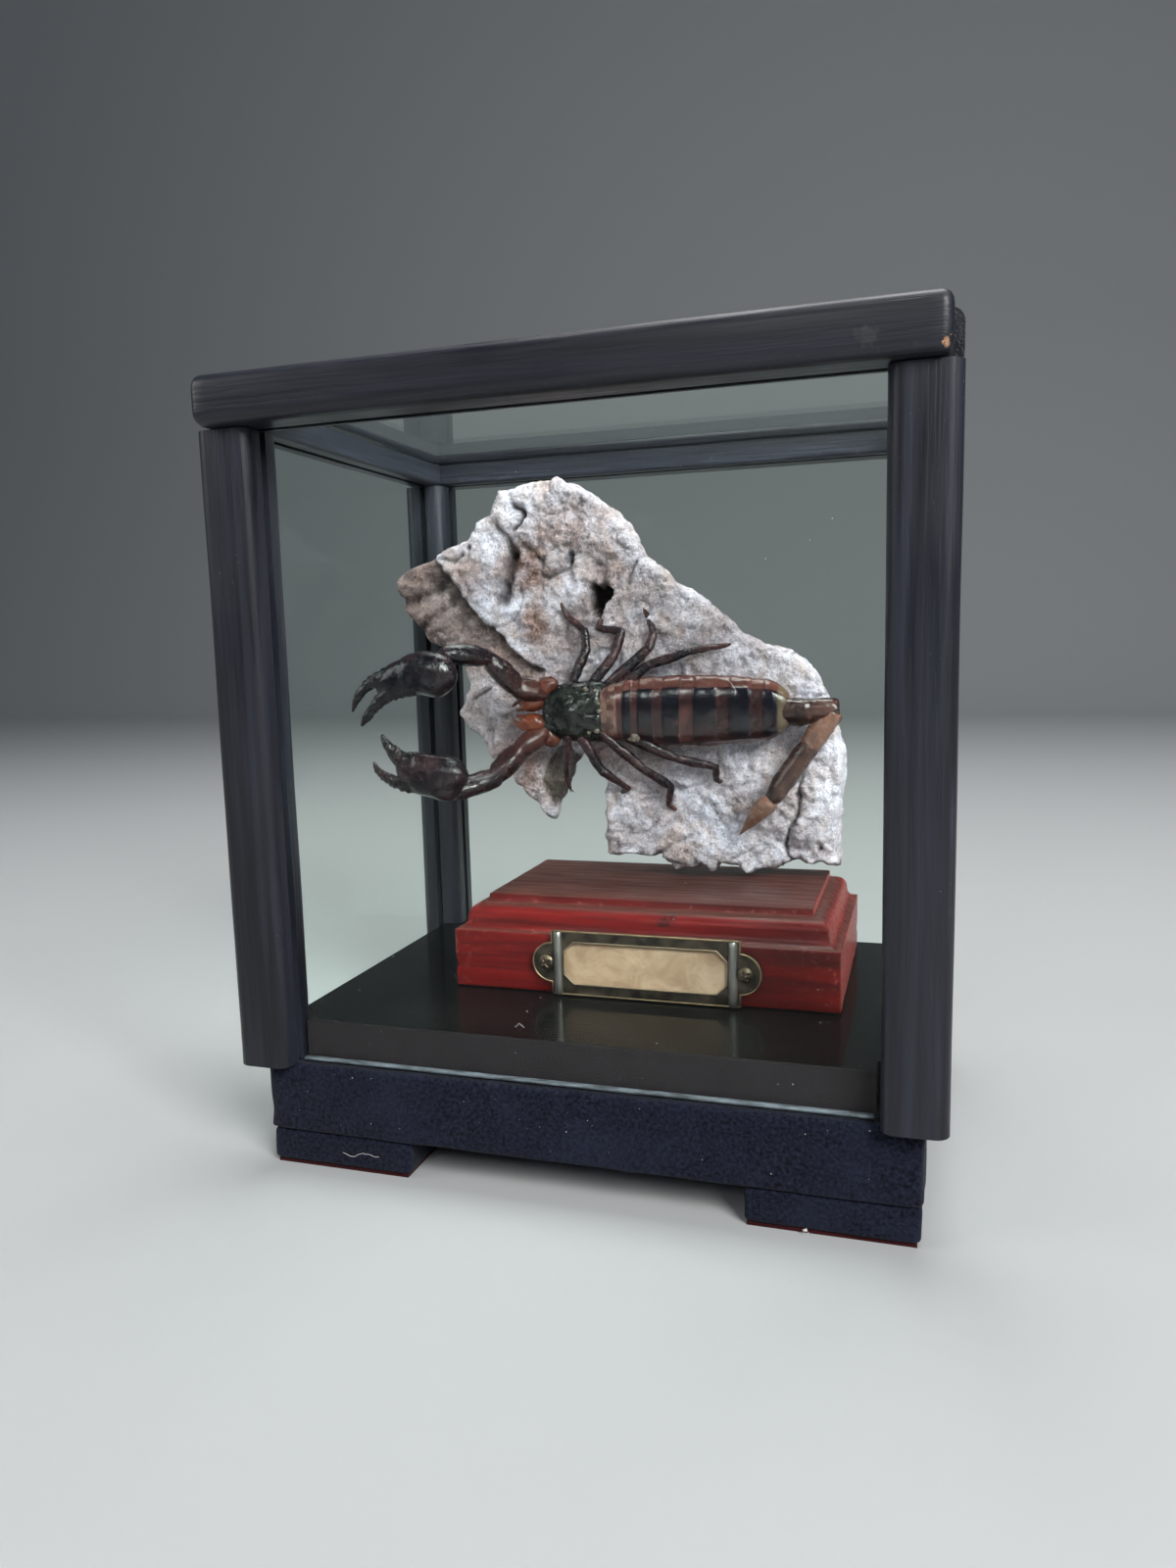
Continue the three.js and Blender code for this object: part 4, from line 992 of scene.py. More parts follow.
# %% Height, depth and stains of the face
def rock_relief(x, z):
    """What stands proud of the slow lumps (positive) or sinks below them, with its masks."""
    flat_points = np.stack([x, z], axis=-1)
    spot = flat(x, z)
    sway = np.stack([rough(spot, 3.5, 3, 7), rough(spot, 3.5, 3, 8)], axis=-1)
    crust_reach = within(flat_points + 0.5 * sway, CRUST_EDGE)
    slope = 0.7 + 7 * ease((122 - z) / 12)
    crust = ease(crust_reach / slope + 0.5)
    height = -3.4 * (1 - crust)
    for middle_x, middle_z, half_x, half_z, proud in BOSSES:
        away = np.hypot((x - middle_x) / half_x, (z - middle_z) / half_z)
        away = away + 0.18 * rough(spot, 5, 3, 9)
        height = height + proud * ease(1.25 - away)
    # The dark mask is painted shade: it darkens cracks, pits, creases, the hole and the lobe below
    # the ledge.
    dark = np.zeros_like(x)
    for path, half, depth, darkness in CRACKS:
        away = off_line(flat_points + 0.55 * sway, path)
        cut = 1 - ease(away / (2 * half))
        height = height - depth * cut
        # Painted shade along the crack, beside the cut in the height
        dark = np.maximum(dark, darkness * (1 - ease(away / (1.7 * half))))
    for middle_x, middle_z, half, depth in PITS:
        away = np.hypot(x - middle_x, z - middle_z) + 0.4 * sway[..., 0]
        height = height - depth * (1 - ease(away / half / 1.4))
        # Painted shade in the pit
        dark = np.maximum(dark, 0.95 * (1 - ease(away / half / 1.3)))
    knobs = ease(1.15 - np.hypot((x + 29) / 7.5, (z - 134) / 8.5)) * (noise(spot, 1.5, 4) - 0.45)
    broken_x, broken_z = x + 1.3 * sway[..., 0], z + 1.3 * sway[..., 1]
    broken = facets(broken_x, broken_z, 11, 2.2, 3) + 0.7 * facets(broken_x, broken_z, 5, 2.2, 9)
    height = height + 1.7 * knobs + 0.5 * rough(spot, 6.5, 4, 2) + 0.62 * broken
    height = height + 0.75 * rough(spot, 1.7, 2, 3) + 0.5 * (1 - crust) * rough(spot, 4, 3, 12)
    crease = np.abs(noise(spot + 2.5 * rough(spot, 5, 2, 14)[..., None], 10, 13) - 0.5)
    crease = (1 - ease(crease / 0.035)) * ease((noise(spot, 16, 15) - 0.42) * 6)
    height = height - 0.8 * crease
    # Painted shade in the creases
    dark = np.maximum(dark, 0.4 * crease)
    # Painted shade: inside that facet's outline the face sinks a little and the mask darkens it.
    shaded_facet = ease(within(flat_points + 0.4 * sway, SHADED_FACET_EDGE) / 1.2 + 0.4)
    height = height - 1.1 * shaded_facet
    # Painted shade: the lobe just below the crust's ledge is darkened, as the ledge would shade it.
    painted_shade_under_ledge = np.exp(-((crust_reach + 1.2) / 1.1) ** 2) * ease((z - 118) / 6)
    hole = ease(within(flat_points + 0.35 * sway, HOLE_EDGE) / 1.3 + 0.15)
    height = height - HOLE_DEPTH * hole
    # Painted shade: the hole is coloured nearly black, as its deep inside would be shaded.
    dark = np.maximum(dark, 1.0 * ease(hole * 1.6 - 0.1))
    tone = np.maximum(crust, ease((123 - z) / 6))
    dark = np.maximum(dark, 0.55 * painted_shade_under_ledge)
    return height, crust, tone, dark, np.clip(-4 * knobs, 0, 1), shaded_facet


def brown_stain(x, z, crust):
    """Pinkish-brown: on the lobe and its spikes, at the knobby boss and hollow, in patches."""
    spot = flat(x, z)
    hollow = ease(1.3 - np.hypot((x + 31) / 9, (z - 150) / 9))
    knobby = ease(1.2 - np.hypot((x + 29) / 6.5, (z - 134) / 8))
    spike = ease(1.2 - np.hypot((x + 34) / 12, (z - 118) / 8))
    stray = ease((noise(spot, 13, 21) - 0.5) * 3.5) * (0.3 + 0.3 * ease((5 - x) / 25))
    lobe = (1 - crust) * (0.5 + 0.6 * noise(spot, 9, 23))
    low_spike = ease(1.25 - np.hypot((x + 36) / 13, (z - 92) / 14))
    most = np.maximum.reduce([0.85 * hollow, 0.95 * knobby, 0.7 * spike, 0.75 * low_spike, stray,
                              lobe])
    return np.clip(most * (0.65 + 0.7 * noise(spot, 3, 24)), 0, 1)


# %% The clipped slab
def slab(step=0.55):
    """Front and back sheets on one grid, kept where the point is inside, and sharing their rim."""
    x, z = np.meshgrid(np.arange(*GRID_ACROSS, step), np.arange(*GRID_UP, step), indexing="ij")
    flat_points = np.stack([x, z], axis=-1)
    spot = flat(x, z)
    outer = within(flat_points, ROCK_EDGE) + 0.75 * (rough(spot, 3.4, 3, 31) - 0.15)
    hole = -within(flat_points, THROAT_EDGE)
    reach = np.minimum(outer, hole)
    inside = reach > 0
    quads = inside[:-1, :-1] & inside[1:, :-1] & inside[1:, 1:] & inside[:-1, 1:]
    lone = np.pad(quads, 1)
    beside = lone[:-2, 1:-1] * 1 + lone[2:, 1:-1] + lone[1:-1, :-2] + lone[1:-1, 2:]
    quads &= beside > 1
    around = np.pad(quads.astype(int), 1)
    faces_here = around[:-1, :-1] + around[1:, :-1] + around[1:, 1:] + around[:-1, 1:]
    used, rim = faces_here > 0, (faces_here > 0) & (faces_here < 4)
    slope = np.stack(np.gradient(reach, step), axis=-1)
    slope /= np.maximum(np.linalg.norm(slope, axis=-1), 0.3)[..., None]
    shift = np.where(rim, np.clip(reach, 0, step), 0)[..., None] * slope
    x, z = x - shift[..., 0], z - shift[..., 1]
    height, crust, tone, dark, knobs, shaded_facet = rock_relief(x, z)
    face = rock_front(x, z) - height
    thick = 9 + 4 * crust
    back = 21 + 0.1 * x + 3.4 * (1 - crust) + thick - 3 * noise(flat(x + 90, z + 30), 14)
    back = back + 0.8 * rough(spot, 5, 4, 33) + 0.5 * facets(x, z, 12, 2.2, 17)
    back = np.maximum(back, face + 2.2)
    seam = face + (0.32 + 0.15 * rough(spot, 6, 3, 34)) * (back - face)
    full = np.minimum(np.clip(outer / 2.2, 0, 1), np.clip(hole / 0.8, 0, 1))
    rounder = np.minimum(np.clip(outer / 6, 0, 1), np.clip(hole / 0.8, 0, 1))
    front = seam + (face - seam) * np.sqrt(1 - (1 - full) ** 2)
    rear = seam + (back - seam) * np.sqrt(1 - (1 - rounder) ** 2)
    front = np.where(rim, seam, front)
    brown = brown_stain(x, z, tone)
    front_number = np.cumsum(used.ravel()).reshape(used.shape) - 1
    own_back = used & ~rim
    back_number = np.where(own_back,
                           front_number.max() + np.cumsum(own_back.ravel()).reshape(used.shape),
                           front_number)
    corners = [(slice(None, -1), slice(None, -1)), (slice(1, None), slice(None, -1)),
               (slice(1, None), slice(1, None)), (slice(None, -1), slice(1, None))]
    front_faces = np.stack([front_number[c][quads] for c in corners], axis=-1)
    back_faces = np.stack([back_number[c][quads] for c in corners[::-1]], axis=-1)
    points = np.vstack([np.stack([x, front, z], axis=-1)[used],
                        np.stack([x, rear, z], axis=-1)[own_back]])
    # The dark mask and the facet mask are painted shade, and the back gets neither.
    masks = {
        name: np.concatenate([values[used], values[own_back] * on_back])
        for name, values, on_back in (("crust", tone, 1), ("brown", np.maximum(brown, knobs), 0.6),
                                      ("dark", dark, 0), ("shaded_facet", shaded_facet, 0))
    }
    return {"points": points, "faces": np.vstack([front_faces, back_faces]).tolist(),
            "masks": masks}


rock = piece("crusted_slab", slab(), ["rock"])

# %% [markdown]
# ### Crust, stain and cracks
# Seen close, the crust is a sandpaper of lilac-grey and white grains with tiny dark pits, warmed
# by pinkish-brown patches. A single noise looks like cloth at that scale, so several are mixed:
# fine and coarser grains, slow clouds for the patches and, from cells, pin-point pits. The masks
# from the shape say where it is lobe or stain, and where painted shade darkens the cracks, pits,
# creases, the hole, the foot of the ledge and the facet turned away from the lamps. The bump
# repeats the grain below the mesh's own detail.

# %% Rock finish
made, recipe, shader = finish("gritty limestone crust", Roughness=0.92, Specular_IOR_Level=0.25)
where = recipe.place()
sand = use(recipe, grit, Where=where, Scale=1250.0)
coarse = recipe.cloud(where, 520.0, 5, 0.0, 0.7)
patches = recipe.cloud(where, 85.0, 6, 0.6, 0.6)
grey = recipe.blend(recipe.between(patches, 0.35, 0.66), (0.46, 0.4, 0.43, 1),
                    (0.74, 0.71, 0.82, 1))
warm = recipe.cloud(recipe.place((1.1, 1, 0.8)), 110.0, 6, 0.8)
grey = recipe.blend(recipe.between(warm, 0.48, 0.68, 0, 0.65), grey, (0.48, 0.35, 0.31, 1))
stain = recipe.blend(recipe.between(sand["Tone"], 0.4, 0.6), (0.085, 0.036, 0.028, 1),
                     (0.34, 0.195, 0.155, 1))
colour = recipe.blend(recipe.sum("MULTIPLY", recipe.mask("brown"), 0.92), grey, stain)
lobe = recipe.sum("SUBTRACT", 1.0, recipe.mask("crust"))
tan = recipe.blend(recipe.between(patches, 0.3, 0.7), (0.15, 0.1, 0.095, 1),
                   (0.36, 0.285, 0.27, 1))
colour = recipe.blend(recipe.sum("MULTIPLY", lobe, 0.75), colour, tan)
pits = recipe.between(recipe.cells(where, 850.0), 0.3, 0.1, 0, 0.75)
pits = recipe.sum("MULTIPLY", pits, recipe.between(recipe.cloud(where, 330.0, 3), 0.42, 0.6))
colour = recipe.blend(pits, colour, (0.1, 0.08, 0.09, 1))
# Painted shade: the facet turned away from the lamps is coloured dark greenish-brown.
shaded_facet = recipe.blend(recipe.between(sand["Tone"], 0.42, 0.6), (0.03, 0.026, 0.018, 1),
                    (0.13, 0.1, 0.075, 1))
colour = recipe.blend(recipe.sum("MULTIPLY", recipe.mask("shaded_facet"), 0.9), colour, shaded_facet)
lumps = recipe.sum("ADD", recipe.sum("MULTIPLY", sand["Height"], 0.5),
                   recipe.sum("MULTIPLY", coarse, 0.5))
grains = recipe.between(lumps, 0.4, 0.6, 0.6, 1.2)
bright = recipe.node("CombineColor",
                     {"Red": grains, "Green": grains, "Blue": grains}).outputs["Color"]
colour = recipe.blend(1.0, colour, bright, "MULTIPLY")
# Painted shade: the dark mask blacks out cracks, pits, creases, the hole and the foot of the ledge.
colour = recipe.blend(recipe.mask("dark"), colour, (0.02, 0.014, 0.013, 1))
recipe.put(shader.inputs["Base Color"], colour)
height = recipe.sum("ADD", recipe.sum("MULTIPLY", sand["Height"], 0.6),
                    recipe.sum("MULTIPLY", coarse, 0.9))
recipe.put(shader.inputs["Normal"], recipe.relief(height, 1.0, 1.1))
dress(made, rock)
print("rock finished")

# %% [markdown]
# ## The scorpion
# The dried animal lies head left against the rock, its back towards the viewer. Each hard part is
# its own closed skin over rings, with the rings' outline as a formula: flattened ovals for the
# body, tubes for legs and tail, and swollen bodies for the hands. A dried shell keeps its gloss
# but wrinkles, so slow noise moves the points, and the finer wrinkles are left to the finish.


# %% Rings for bodies and limbs
BODY_AXIS = 109.0


def body_plane(x):
    """Depth of the animal's own middle plane, which leans back with the rock."""
    return 13.2 + 0.08 * x


def body_rings(x, half, back, belly, count=72, squareness=0.8):
    """Rings round the trunk: half width times the cosine, drawn square, and back or belly depth
    times the sine."""
    angle = np.linspace(0, 2 * np.pi, count, endpoint=False)
    cos, sin = np.cos(angle), np.sin(angle)
    across = half[:, None] * np.sign(cos) * np.abs(cos) ** squareness
    depth = np.where(sin < 0, back[:, None], belly[:, None]) * sin
    return np.stack([np.broadcast_to(x[:, None], across.shape), body_plane(x)[:, None] + depth,
                     BODY_AXIS + across], axis=-1)


def tube(path, wide, deep, count=20, toward=(0, -1, 0)):
    """Rings along a path: wide times the cosine sideways, deep times the sine to the viewer."""
    path = np.asarray(path, float)
    ahead = np.gradient(path, axis=0)
    ahead /= np.linalg.norm(ahead, axis=1)[:, None]
    side = np.cross(ahead, toward)
    side /= np.linalg.norm(side, axis=1)[:, None]
    rise = np.cross(side, ahead)
    angle = np.linspace(0, 2 * np.pi, count, endpoint=False)
    across = (wide[:, None] * np.cos(angle))[..., None] * side[:, None]
    return path[:, None] + across + (deep[:, None] * np.sin(angle))[..., None] * rise[:, None]


def round_ends(t, fullness):
    """Full in the middle and round at both ends: one less a power of the way from the middle,
    with the same power's root taken."""
    return np.clip(1 - np.abs(2 * t - 1) ** fullness, 0, 1) ** (1 / fullness)


def end_heavy(count):
    """Steps from 0 to 1 that lie closer at both ends, so that rounded ends stay smooth."""
    return (1 - np.cos(np.linspace(0.06, np.pi - 0.06, count))) / 2


def crinkle(rings, size, amount, seed):
    """Moves every point away from or towards its ring's middle by slow noise."""
    middle = rings.mean(axis=1, keepdims=True)
    out = rings - middle
    reach = np.linalg.norm(out, axis=-1, keepdims=True)
    move = amount * rough(rings, size, 3, seed)
    return rings + out / np.maximum(reach, 1e-6) * move[..., None]


def segment(start, end, first, last, fullness=5, swell=0.1, flatness=1.0, seed=0, rows=22,
            count=18):
    """One stiff part of a limb, from joint to joint: it runs a little past both joints, where it
    rounds off inside its neighbour."""
    start, end = np.asarray(start, float), np.asarray(end, float)
    ahead = (end - start) / np.linalg.norm(end - start)
    start, end = start - ahead * first * 0.75, end + ahead * last * 0.75
    t = end_heavy(rows)
    swelling = 1 + swell * np.sin(np.pi * t)
    radius = (first + (last - first) * t) * swelling * round_ends(t, fullness)
    path = start + (end - start) * t[:, None]
    rings = tube(path, radius, radius * flatness, count)
    angle = np.linspace(0, 2 * np.pi, count, endpoint=False)
    keel = 0.12 * np.abs(np.cos(1.5 * angle)) ** 5 * np.sin(np.pi * t)[:, None]
    rings = rings + (rings - rings.mean(axis=1, keepdims=True)) * keel[..., None]
    rings = crinkle(rings, 1.8, 0.13 * min(first, 1.5), seed)
    return crinkle(rings, 0.7, 0.06 * min(first, 1.5), seed + 1), t


print("rings ready")

# %% [markdown]
# ### Trunk
# Seven plates cover the trunk. Six of them are dark and glossy with a reddish membrane between
# them; the first has dried to a dull brown band, tan in patches. Plates stand about half a
# millimetre proud and roll down at their edges, which is where each catches a thin light. Along
# both sides runs a soft wrinkled strip. Where plate, membrane and strip lie is stored as masks.

# %% Trunk skin
PLATE_EDGES = np.array([-8.5, -3.5, 1, 7, 15, 24, 33, 42.5])
PLATE_HALF_WIDTHS = np.array([8, 8.7, 9.2, 9.6, 9.8, 9.6, 8.8, 4.3])
TRUNK_START, TRUNK_LENGTH = -8.6, 51.1
LAST_PLATE, LAST_LENGTH = 33, 9.7
DARK_PLATES = [(-2.2, 0.4), (2, 6.3), (8.8, 13.7), (17.2, 23.5), (26.8, 32.6), (35.7, 42.6)]


def trunk():
    """The CAD's widths, carried smoothly, with each plate raised by a flat-topped step."""
    x = TRUNK_START + TRUNK_LENGTH * end_heavy(300)
    half = np.interp(x, PLATE_EDGES, PLATE_HALF_WIDTHS)
    tip = np.clip((x - LAST_PLATE) / LAST_LENGTH, 0, 1)
    half = np.where(x > LAST_PLATE, 8.8 - 4.6 * tip**2.4, half)
    plate = np.zeros_like(x)
    for start, end in DARK_PLATES:
        plate = np.maximum(plate, ease((x - start) / 0.5) * ease((end - x) / 0.35))
    pillow = sum(np.where((x > start) & (x < end), np.sin(np.pi * (x - start) / (end - start)), 0)
                 for start, end in DARK_PLATES)
    ends = round_ends(np.clip((x - TRUNK_START) / TRUNK_LENGTH, 0, 1), 14)
    back = (4.4 - 1.6 * tip**2) * (0.9 + 0.1 * plate + 0.05 * pillow) * ends
    belly = (3.4 - 0.8 * tip**2) * (0.94 + 0.06 * plate) * ends
    rings = body_rings(x, half * (0.97 + 0.03 * plate) * (0.4 + 0.6 * ends), back, belly, 96)
    across = np.clip((rings[..., 2] - BODY_AXIS) / half[:, None], -1, 1)
    on_back = rings[..., 1] < body_plane(x)[:, None]
    strip = np.where(across > 0, ease((across - 0.64) / 0.06), ease((-across - 0.84) / 0.08))
    strip = np.maximum(strip, np.where(on_back, 0, 1))
    hard = plate[:, None] * (1 - strip)
    sunk = 0.35 * strip * on_back + 0.2 * strip * rough(rings * [0.4, 1, 1], 1.1, 2, 41)
    rings[..., 1] += sunk
    rings = crinkle(rings, 4.5, 0.16, 42)
    front_band = ease((-3.6 - x) / 0.4)[:, None]
    patchy = ease((noise(rings, 1.7, 43) - 0.42) * 6 + (1.2 * ease((-6 - x) / 1.2)[:, None]) - 0.3)
    dim = ease((x - 21) / 4)[:, None] * (1 - strip)
    warm = hard * ease((-across - 0.1) / 0.5) * ease((noise(rings, 6, 44) - 0.35) * 4)
    olive = np.broadcast_to(ease((x - 39.3) / 0.8)[:, None], hard.shape)
    return skin(rings, plate=hard, strip=strip * (1 - front_band), band=front_band,
                tan=front_band * patchy, dim=dim, warm=warm, olive=olive)


trunk_piece = piece("trunk_plates", trunk(), ["scorpion"])

# %% [markdown]
# ### Head shield
# The head shield is blunt in front, dips along its middle line and carries the eyes on a low
# mound. It dried blackest and most wrinkled of all, with bits of dried glue and dust lodged at
# its rear edge. The folds run from the eyes outwards, so their noise is stretched that way.


# %% Head shield skin
def head_shield():
    """Half width and depth between the CAD's stations, with a groove, an eye mound and folds."""
    stations = np.array([
        (-25.3, 4.4, 2.0, 2.2), (-24.8, 6.0, 3.2, 3.0), (-24.2, 6.7, 3.7, 3.2),
        (-20, 7.8, 4.3, 3.6), (-16, 8.4, 4.7, 3.8), (-11, 8.7, 4.5, 3.8),
        (-8.6, 8.5, 4.0, 3.6), (-7.6, 7.6, 3.2, 3.1),
    ])
    x = np.sort(np.concatenate([np.linspace(-25.3, -24, 8), np.linspace(-23.9, -7.7, 86)]))
    half, back, belly = (np.interp(x, stations[:, 0], stations[:, i]) for i in (1, 2, 3))
    rings = body_rings(x, half, back * 0.93, belly, 84)
    across = (rings[..., 2] - BODY_AXIS) / half[:, None]
    top = np.clip((body_plane(x)[:, None] - rings[..., 1]) / back[:, None], 0, 1)
    groove = np.exp(-((across / 0.08) ** 2)) * ease((np.abs(x + 16.6) - 2.2) / 1.2)[:, None]
    mound = np.exp(-(((x[:, None] + 16.6) / 2.3) ** 2) - (across * half[:, None] / 1.9) ** 2)
    eyes = sum(np.exp(-(((x[:, None] + 16.9) / 0.75) ** 2)
                      - ((rings[..., 2] - BODY_AXIS - side * 1.2) / 0.75) ** 2)
                      for side in (-1, 1))
    folds = rough(rings * [0.8, 1, 1.5], 2.6, 4, 51)
    arcs = np.sin(x[:, None] * 1.25 + 2.2 * np.abs(across) + 1.5 * rough(rings, 5, 2, 52))
    rear = ease((x + 12.5) / 4)[:, None]
    lift = -0.7 * groove + 0.85 * mound + 0.45 * eyes + 0.4 * folds + 0.22 * arcs * (0.5 + rear)
    rings[..., 1] -= lift * top * (0.55 + 0.45 * top)
    return skin(rings, eye=np.clip(eyes, 0, 1), fold=np.clip(0.5 + folds, 0, 1))


head_piece = piece("head_shield", head_shield(), ["scorpion"])

# %% [markdown]
# ### Jaws and hips
# In front of the shield two stubby jaws point left, orange-red where the shell is thin, each with
# a dark hooked tip. Beside them lie the hips from which the claw arms start. They are swollen
# bodies: along any direction from the middle the skin lies where a blend of ovals ends.


# %% Swollen bodies
def swollen(middle, ovals, rows=40, count=56, bumps=(3.0, 0.2), seed=0):
    """Round body over several ovals (offset, radii, turn about the depth axis). Along each
    direction the ray leaves an oval at the quadratic's larger root, and the skin lies at the
    eighth root of the sum of the roots' eighth powers."""
    down = end_heavy(rows)[:, None] * np.pi
    angle = np.linspace(0, 2 * np.pi, count, endpoint=False)
    way = np.stack(np.broadcast_arrays(np.cos(down), np.sin(down) * np.cos(angle),
                                       np.sin(down) * np.sin(angle)), axis=-1)
    total = 0
    for offset, radii, turned in ovals:
        cos, sin = np.cos(turned), np.sin(turned)
        spin = np.array([[cos, 0, sin], [0, 1, 0], [-sin, 0, cos]])
        direction = (way @ spin) / radii
        start = (-np.asarray(offset, float) @ spin) / radii
        a = (direction**2).sum(axis=-1)
        b = direction @ start
        c = (start**2).sum() - 1
        root = np.sqrt(np.clip(b * b - a * c, 0, None))
        total = total + np.clip((-b + root) / a, 0.01, None) ** 8
    reach = total ** (1 / 8)
    points = np.asarray(middle, float) + way * reach[..., None]
    grains = 0.1 * bumps[1] * ease((noise(points, 0.9, seed + 3) - 0.6) * 5)
    return points + way * (bumps[1] * rough(points, bumps[0], 3, seed) + grains)[..., None]


def mirrored_jaw(side):
    body = swollen((-28, 9.4, BODY_AXIS + side * 3), [((0, 0, 0), (4.2, 3, 2.8), 0)],
                   bumps=(1.6, 0.2), seed=61)
    base, tip = (-29.6, 8.4, BODY_AXIS + side * 3.7), (-33.6, 8.2, BODY_AXIS + side * 1.7)
    finger, t = segment(base, tip, 1.5, 0.35, 3, 0.0, 1.0, 62)
    finger[..., 2] += side * 0.7 * np.sin(np.pi * t)[:, None]
    start, end = (-29.5, 8, BODY_AXIS + side * 1.6), (-32.4, 8, BODY_AXIS + side * 0.7)
    inner, s = segment(start, end, 1.0, 0.3, 3)
    return [skin(body, rust=1.0 - 0.5 * (body[..., 0] > -26)), skin(finger, rust=(1 - t)[:, None]),
            skin(inner, rust=(1 - s)[:, None])]


def hip(side):
    middle = (-24.6, 10.8, BODY_AXIS + side * 6.6)
    return skin(swollen(middle, [((0, 0, 0), (4.2, 3, 2.8), -side * 0.6)], bumps=(1.8, 0.3),
                        seed=64), rust=0.35)


jaw_piece = piece("jaws_and_hips", together([part for side in (-1, 1)
                                             for part in (*mirrored_jaw(side), hip(side))]),
                  ["scorpion"])

# %% [markdown]
# ### Claws
# Each claw arm has two angular parts and ends in a broad, smooth, nearly black hand. The fixed and
# the moving finger are knobbly and bent towards each other, and close with small teeth on their
# inner edges. A finger is a tube whose radius shrinks to its tip, roughened by two sizes of noise.


# %% Arms, hands and fingers
def along(joints, count):
    """Even steps along a smooth line through the joints: each coordinate is a curve through the
    joints' own, with the slope at a joint taken from its neighbours."""
    joints = np.asarray(joints, float)
    slope = np.gradient(joints, axis=0)
    t = np.linspace(0, len(joints) - 1, count)
    i = np.minimum(t.astype(int), len(joints) - 2)
    u = (t - i)[:, None]
    return ((1 + 2 * u) * (1 - u) ** 2 * joints[i] + u * (1 - u) ** 2 * slope[i]
            + u * u * (3 - 2 * u) * joints[i + 1] + u * u * (u - 1) * slope[i + 1])


def finger(joints, radii, teeth, seed, rows=64, count=22):
    """A knobbly tapering tube. Teeth are a wave along the side that faces the other finger."""
    path = along(joints, rows)
    t = np.linspace(0, 1, rows)
    radius = np.interp(t, np.linspace(0, 1, len(radii)), radii)
    radius = radius * np.clip(round_ends(t, 12), 0.12, 1)
    rings = tube(path, radius, radius * 0.85, count)
    angle = np.linspace(0, 2 * np.pi, count, endpoint=False)
    towards = np.clip(np.cos(angle - (0 if teeth > 0 else np.pi)), 0, 1) ** 3
    bite = np.clip(radius, 0, 1.4)[:, None]
    saw = np.abs(np.sin(11 * np.pi * t))[:, None] * towards * 0.28 * bite
    out = rings - path[:, None]
    out /= np.maximum(np.linalg.norm(out, axis=-1, keepdims=True), 1e-6)
    knobs = 0.24 * rough(rings, 1.5, 2, seed) + 0.12 * rough(rings, 0.6, 1, seed + 1)
    shrink = np.clip(radius / 1.5, 0.15, 1)[:, None]
    return skin(rings + out * (saw + knobs * shrink)[..., None], finger=1.0, bare=0.0)


def arm(joints, radii, rust, seed):
    """Angular arm parts from joint to joint, redder towards the body."""
    shells = []
    for i in range(len(joints) - 1):
        rings, t = segment(joints[i], joints[i + 1], radii[i], radii[i + 1], 4, 0.22, 0.9,
                           seed + i, 26, 24)
        keel = np.abs(np.cos(np.linspace(0, 2 * np.pi, 24, endpoint=False) * 2)) ** 6
        middle = rings.mean(axis=1, keepdims=True)
        rings = rings + (rings - middle) * (0.1 * keel)[None, :, None]
        redness = rust[i] + (rust[i + 1] - rust[i]) * t
        shells.append(skin(rings, bare=redness[:, None], finger=0.0))
    return shells


def hand(middle, ovals, seed):
    return skin(swollen(middle, ovals, 56, 72, (5.0, 0.28), seed), finger=0.0, bare=0.0)


upper_claw = [
    *arm([(-25, 9, 114), (-30.6, 5, 115.8), (-37, 0.5, 124.2)],
         (2.2, 2.4, 2.3), (0.8, 0.35, 0.02), 71),
    *arm([(-36.8, 0, 124.5), (-45.8, -9, 126.2)], (2.1, 2.0), (0.02, 0), 75),
    hand((-51, -10.9, 120.9), [
        ((2.2, 0.3, -0.3), (7, 4.5, 5.9), 0),
        ((-3.2, -0.5, -0.2), (9.2, 3.9, 5.4), -0.35),
        ((-8.4, -1.0, -1.6), (6, 2.8, 3.6), -0.55),
    ], 79),
    finger([(-58.5, -12, 120.8), (-64.4, -12.8, 119.3), (-68.2, -13.2, 116.9), (-70.4, -13.4, 114),
            (-71.9, -13.4, 110.9)], (2.9, 1.9, 1.35, 1.0, 0.3), 1, 81),
    finger([(-57, -12, 117.4), (-61.8, -12.4, 115.6), (-64.6, -12.8, 113.2), (-67.8, -13.2, 109.4),
            (-69.4, -13.4, 107)], (2.6, 2.1, 1.5, 1.1, 0.3), -1, 84),
]
lower_claw = [
    *arm([(-25, 9, 103.4), (-29.8, 5, 99.4), (-35.9, 0, 92.2)],
         (2.2, 2.4, 2.4), (0.85, 0.45, 0.1), 91),
    *arm([(-35.6, 0, 91.9), (-43.9, -8.8, 88.8)], (2.3, 2.1), (0.1, 0), 95),
    hand((-48.4, -11, 93.7), [
        ((2, 0.5, 0), (6.6, 4.5, 5.2), 0.1),
        ((-3, -0.5, -0.1), (8, 3.9, 5.9), 0.25),
        ((2, 0.4, -4.2), (3.8, 3, 2.8), 0.2),
        ((-7.4, -0.8, 1.4), (4, 2.8, 3.4), 0.6),
    ], 99),
    finger([(-54, -12, 96.6), (-58.4, -12.6, 98), (-61.1, -13, 100.6), (-62.6, -13.2, 102.8),
            (-63.5, -13.2, 104.9)], (3, 2.3, 1.5, 1.0, 0.3), 1, 101),
    finger([(-53.6, -12, 91.2), (-58.8, -12.6, 91.7), (-62.4, -13, 92.9), (-65, -13.3, 94.9),
            (-66.2, -13.4, 97.4)], (2.6, 1.9, 1.3, 0.9, 0.3), -1, 104),
]
claw_piece = piece("claws", together(upper_claw + lower_claw), ["scorpion"])

